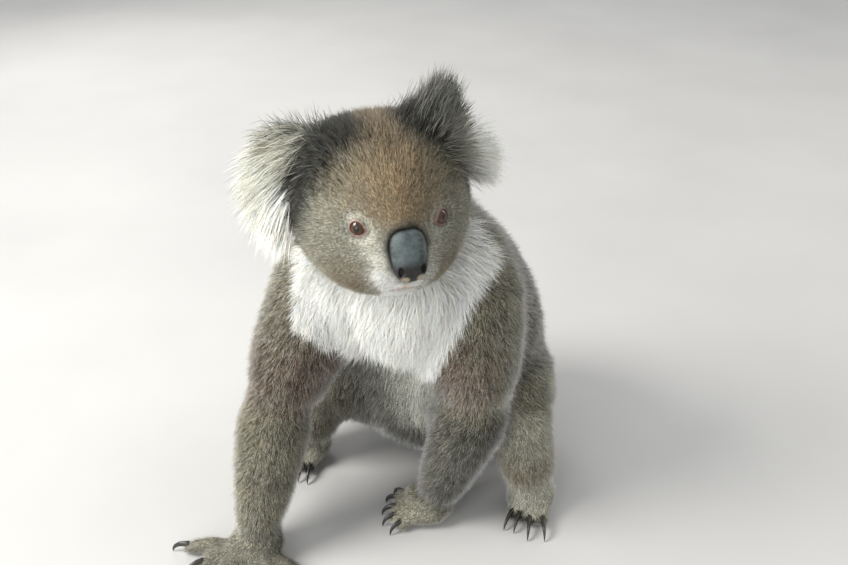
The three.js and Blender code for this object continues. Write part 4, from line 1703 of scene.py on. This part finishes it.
def make_skin():
    """The skin, half as pale as its coat as painted shade deep under the locks, with bare lids and
    lips.
    """
    s = skin()
    # Painted shade: the skin is darkened to half its coat's colour, as deep down in the coat.
    colour = lie().colour * 0.5
    bare = bareness(s.places)
    colour = blend(colour, tone("lid"), bare)
    for side in SIDES:
        eye = Eye(side)
        u, v, out = eye.local(s.places)
        wet = bell(eye.opening(u, v) - 1.02, 0.06) * (out > -6)
        # Painted shade on the lids of her left eye.
        shaded = LID_SHADE[side] * bare * (np.hypot(u, v) < 16) * (out > -6)
        colour = blend(colour, tone("lid") * [0.34, 0.27, 0.25], shaded)
        colour = blend(colour, tone("lid") * [0.30, 0.20, 0.18], 0.8 * wet)
    mesh = mesh_from("skin", s.places, s.faces)
    paint(mesh, COLOUR, colour)
    paint(mesh, MOIST, bare)
    piece = add_piece("skin", mesh, skin_material(), FLESH)
    unwrap(piece)
    return piece


def unwrap(piece):
    """Lays the skin out flat, and keeps each triangle's corners for the roots of the locks."""
    mesh = piece.data
    mesh.uv_layers.new(name=BAKE_MAP)
    bpy.ops.object.select_all(action="DESELECT")
    piece.select_set(True)
    bpy.context.view_layer.objects.active = piece
    bpy.ops.object.mode_set(mode="EDIT")
    bpy.ops.mesh.select_all(action="SELECT")
    bpy.ops.uv.smart_project(angle_limit=math.radians(66), island_margin=0.004)
    bpy.ops.object.mode_set(mode="OBJECT")
    spots = np.empty(len(mesh.loops) * 2, dtype=np.float32)
    mesh.uv_layers[BAKE_MAP].uv.foreach_get("vector", spots)
    skin().spots = spots.reshape(-1, 3, 2)


GREY = ("coat_grey", "grey_coat")  # material and slot of the grey pieces


def limb_pieces(layer, look):
    """The grey coat of both arms and both legs, as rows of COAT_PIECES."""
    spans = {"arm": ("upper_arm_", "forearm_"), "leg": ("thigh_", "shank_")}
    return {
        f"{layer}_{limb}_{side}": (tuple(node + side for node in nodes), *GREY, look)
        for limb, nodes in spans.items() for side in SIDES
    }


# Pieces of the coat: the flesh nodes each grows on, its material and slot, and its look.
COAT_PIECES = {
    "coat_head": (("head",), "coat_head", "grey_coat", HEAD_PLUSH),
    "coat_ear_left": (("ear_left",), "coat_fringe", "ear_fringe", HEAD_PLUSH),
    "coat_ear_right": (("ear_right",), "coat_fringe", "ear_fringe", HEAD_PLUSH),
    "coat_neck": (("neck",), *GREY, PLUSH),
    "coat_bib": (("chest",), "coat_white", "white_bib", PALE_PLUSH),
    "coat_trunk": (("trunk",), *GREY, PLUSH),
    **limb_pieces("coat", PLUSH),
    "coat_hands": (("hand_left", "hand_right"), "coat_pale", "pale_paw", PAW_PLUSH),
    "coat_feet": (("foot_left", "foot_right"), "coat_pale", "pale_paw", PAW_PLUSH),
    "guard_head": (("head",), "coat_head", "grey_coat", HEAD_GUARD),
    "guard_bib": (("chest",), "coat_white", "white_bib", BIB),
    "guard_neck": (("neck",), *GREY, GUARD),
    "guard_trunk": (("trunk",), *GREY, GUARD),
    **limb_pieces("guard", GUARD),
}
MOST_TRIANGLES = 195000  # in one piece


def is_guard(name):
    """Whether a piece of the coat is guard hair rather than short coat."""
    return name.startswith("guard_")


def on_nodes(nodes):
    """Which triangles of the skin belong to these flesh nodes."""
    s = skin()
    return np.isin(s.region[s.faces[:, 0]], [FLESH.index(n) for n in nodes])


def make_coat(wanted):
    """Grows the named pieces, each with its fair share of all the locks of its kind.

    A piece with too many triangles is grown as several, from her right to her left.
    """
    s = skin()
    weights = lock_weights(np.arange(len(s.faces)))
    thin = 1.0
    for number, (name, (nodes, material_name, slot, look)) in enumerate(COAT_PIECES.items()):
        if name not in wanted:
            continue
        total = thin * (sizes().guard_count if is_guard(name) else sizes().plush_count)
        kin = [made[0] for other, made in COAT_PIECES.items() if is_guard(other) == is_guard(name)]
        everywhere = weights[on_nodes(sum(kin, ()))].sum()
        faces = np.flatnonzero(on_nodes(nodes))
        each = len(lock_faces(look.rings) if look.rings else SPIKE_FACES)
        triangles = total * weights[faces].sum() / everywhere * each
        parts = math.ceil(triangles / MOST_TRIANGLES)
        faces = faces[np.argsort(s.places[s.faces[faces, 0], 0])]
        run = np.cumsum(weights[faces])
        cuts = np.split(faces, np.searchsorted(run, run[-1] * np.arange(1, parts) / parts))
        for part, some in enumerate(cuts):
            count = int(total * weights[some].sum() / everywhere)
            label = name if parts == 1 else f"{name}_{part + 1}"
            seed = 100 * number + part
            grow_locks(label, some, count, coat_material(material_name), seed, look)


CAMERA_PLACE = (0.2475, -0.6388, 0.312)  # from the middle of her head


def make_camera():
    """Looks down on her from her front right, near enough for the head to loom."""
    data = bpy.data.cameras.new("camera")
    data.sensor_width = 36.0
    data.lens = 38.2
    camera = bpy.data.objects.new("camera", data)
    camera.location = Head.centre + CAMERA_PLACE
    camera.rotation_euler = Euler((math.radians(60), 0.0, math.radians(18)))
    bpy.context.scene.collection.objects.link(camera)
    bpy.context.scene.camera = camera


def area_light(name, place, size, power, colour, aim):
    """A round soft light turned to a point."""
    data = bpy.data.lights.new(name, "AREA")
    data.shape = "DISK"
    data.size = size
    data.energy = power
    data.color = colour
    light = bpy.data.objects.new(name, data)
    light.location = place
    light.rotation_euler = (Vector(aim) - Vector(place)).to_track_quat("-Z", "Y").to_euler()
    bpy.context.scene.collection.objects.link(light)


def make_stage():
    """A pale floor, a key light on her right, a weak fill, two rims and an even sky."""
    half = 6.0
    corners = np.array([[-half, -half, 0], [half, -half, 0], [half, half, 0], [-half, half, 0]])
    mesh = mesh_from("floor", corners, np.array([[0, 1, 2], [0, 2, 3]]))
    floor = bpy.data.objects.new("floor", mesh)
    bpy.context.scene.collection.objects.link(floor)
    material, tree, shader = new_material("floor_paint")
    place = tree.nodes.new("ShaderNodeTexCoord").outputs["Object"]
    cloud = range_node(tree, noise_node(tree, place, 3.0, 3.0), 0.3, 0.7, 0.0, 1.0)
    colour = mix_node(tree, "MIX", cloud, (0.45, 0.445, 0.432), (0.49, 0.485, 0.47))
    tree.links.new(colour, shader.inputs["Base Color"])
    shader.inputs["Roughness"].default_value = 0.8
    mesh.materials.append(material)
    aim = (0.0, 0.0, 0.25)
    area_light("key", (-1.3, -1.0, 1.7), 1.1, 66.0, (1.0, 0.98, 0.95), aim)
    area_light("fill", (-0.3, -1.9, 0.7), 1.4, 15.0, (0.96, 0.98, 1.0), aim)
    area_light("rim_left", (1.5, 1.5, 1.3), 0.9, 7.0, (1.0, 0.99, 0.96), aim)
    area_light("rim_right", (-1.5, 1.5, 1.1), 0.9, 13.0, (1.0, 0.99, 0.96), aim)
    world = bpy.data.worlds.new("studio")
    world.use_nodes = True
    sky = world.node_tree.nodes["Background"]
    sky.inputs["Color"].default_value = (0.97, 0.98, 1.0, 1.0)
    sky.inputs["Strength"].default_value = 0.80
    bpy.context.scene.world = world
    bpy.context.scene.view_settings.view_transform = "Standard"


# ---------------------------------------------------------------- operators

class KOALA_OT_camera(bpy.types.Operator):
    """Place the camera"""

    bl_idname = "koala.camera"
    bl_label = "Camera"

    def execute(self, context):
        make_camera()
        return {"FINISHED"}


class KOALA_OT_skin(bpy.types.Operator):
    """Draw one skin under all the flesh, with lids and lips"""

    bl_idname = "koala.skin"
    bl_label = "Skin"

    def execute(self, context):
        make_skin()
        return {"FINISHED"}


class KOALA_OT_coat_head(bpy.types.Operator):
    """Grow the short coat and the guard hair of the head"""

    bl_idname = "koala.coat_head"
    bl_label = "Head coat"

    def execute(self, context):
        make_coat({"coat_head", "guard_head"})
        return {"FINISHED"}


class KOALA_OT_coat_ears(bpy.types.Operator):
    """Grow the coat of the ears and their long fringe"""

    bl_idname = "koala.coat_ears"
    bl_label = "Ear coat and fringe"

    def execute(self, context):
        make_coat({"coat_ear_left", "coat_ear_right"})
        fringe = coat_material("coat_fringe")
        for side in SIDES:
            for number, spray in enumerate(SPRAYS[side]):
                grow_spray(side, number, spray, fringe)
        return {"FINISHED"}


class KOALA_OT_coat_body(bpy.types.Operator):
    """Grow the short coat and the guard hair of the neck, the bib and the trunk"""

    bl_idname = "koala.coat_body"
    bl_label = "Body coat"

    def execute(self, context):
        make_coat({n for n in COAT_PIECES if n.endswith(("_neck", "_bib", "_trunk"))})
        return {"FINISHED"}


class KOALA_OT_coat_limbs(bpy.types.Operator):
    """Grow the coat of the arms, legs, hands and feet, with guard hair on the arms and legs"""

    bl_idname = "koala.coat_limbs"
    bl_label = "Limb coat"

    def execute(self, context):
        make_coat({n for n in COAT_PIECES if "_arm_" in n or "_leg_" in n})
        make_coat({"coat_hands", "coat_feet"})
        return {"FINISHED"}


class KOALA_OT_eyes(bpy.types.Operator):
    """Make the eyeballs"""

    bl_idname = "koala.eyes"
    bl_label = "Eyes"

    def execute(self, context):
        for side in SIDES:
            make_eye(side)
        return {"FINISHED"}


class KOALA_OT_nose(bpy.types.Operator):
    """Make the leather nose"""

    bl_idname = "koala.nose"
    bl_label = "Nose"

    def execute(self, context):
        make_nose()
        return {"FINISHED"}


class KOALA_OT_claws(bpy.types.Operator):
    """Make the claws of the four paws"""

    bl_idname = "koala.claws"
    bl_label = "Claws"

    def execute(self, context):
        for side in SIDES:
            make_claws("hand_" + side)
            make_claws("foot_" + side)
        return {"FINISHED"}


class KOALA_OT_stage(bpy.types.Operator):
    """Lay the floor and hang the lights"""

    bl_idname = "koala.stage"
    bl_label = "Stage"

    def execute(self, context):
        make_stage()
        return {"FINISHED"}


OPERATORS = (
    KOALA_OT_camera, KOALA_OT_skin, KOALA_OT_coat_head, KOALA_OT_coat_ears, KOALA_OT_coat_body,
    KOALA_OT_coat_limbs, KOALA_OT_eyes, KOALA_OT_nose, KOALA_OT_claws, KOALA_OT_stage,
)


class KOALA_PT_maker(bpy.types.Panel):
    """Sizes, colours and the pieces in the order they are made"""

    bl_idname = "KOALA_PT_maker"
    bl_label = "Koala"
    bl_space_type = "VIEW_3D"
    bl_region_type = "UI"
    bl_category = "Koala"

    def draw(self, context):
        for group in (context.scene.koala_sizes, context.scene.koala_colours):
            box = self.layout.box()
            for name in group.__annotations__:
                box.prop(group, name)
        for operator in OPERATORS:
            self.layout.operator(operator.bl_idname)


CLASSES = (KoalaSizes, KoalaColours, *OPERATORS, KOALA_PT_maker)


def register():
    """Adds the classes and the settings to Blender."""
    for cls in CLASSES:
        bpy.utils.register_class(cls)
    bpy.types.Scene.koala_sizes = bpy.props.PointerProperty(type=KoalaSizes)
    bpy.types.Scene.koala_colours = bpy.props.PointerProperty(type=KoalaColours)


def unregister():
    """Takes the settings and the classes out again."""
    del bpy.types.Scene.koala_colours
    del bpy.types.Scene.koala_sizes
    for cls in reversed(CLASSES):
        bpy.utils.unregister_class(cls)


def main():
    """Builds the koala."""
    register()
    for operator in OPERATORS:
        family, name = operator.bl_idname.split(".")
        getattr(getattr(bpy.ops, family), name)()


if __name__ == "__main__":
    main()
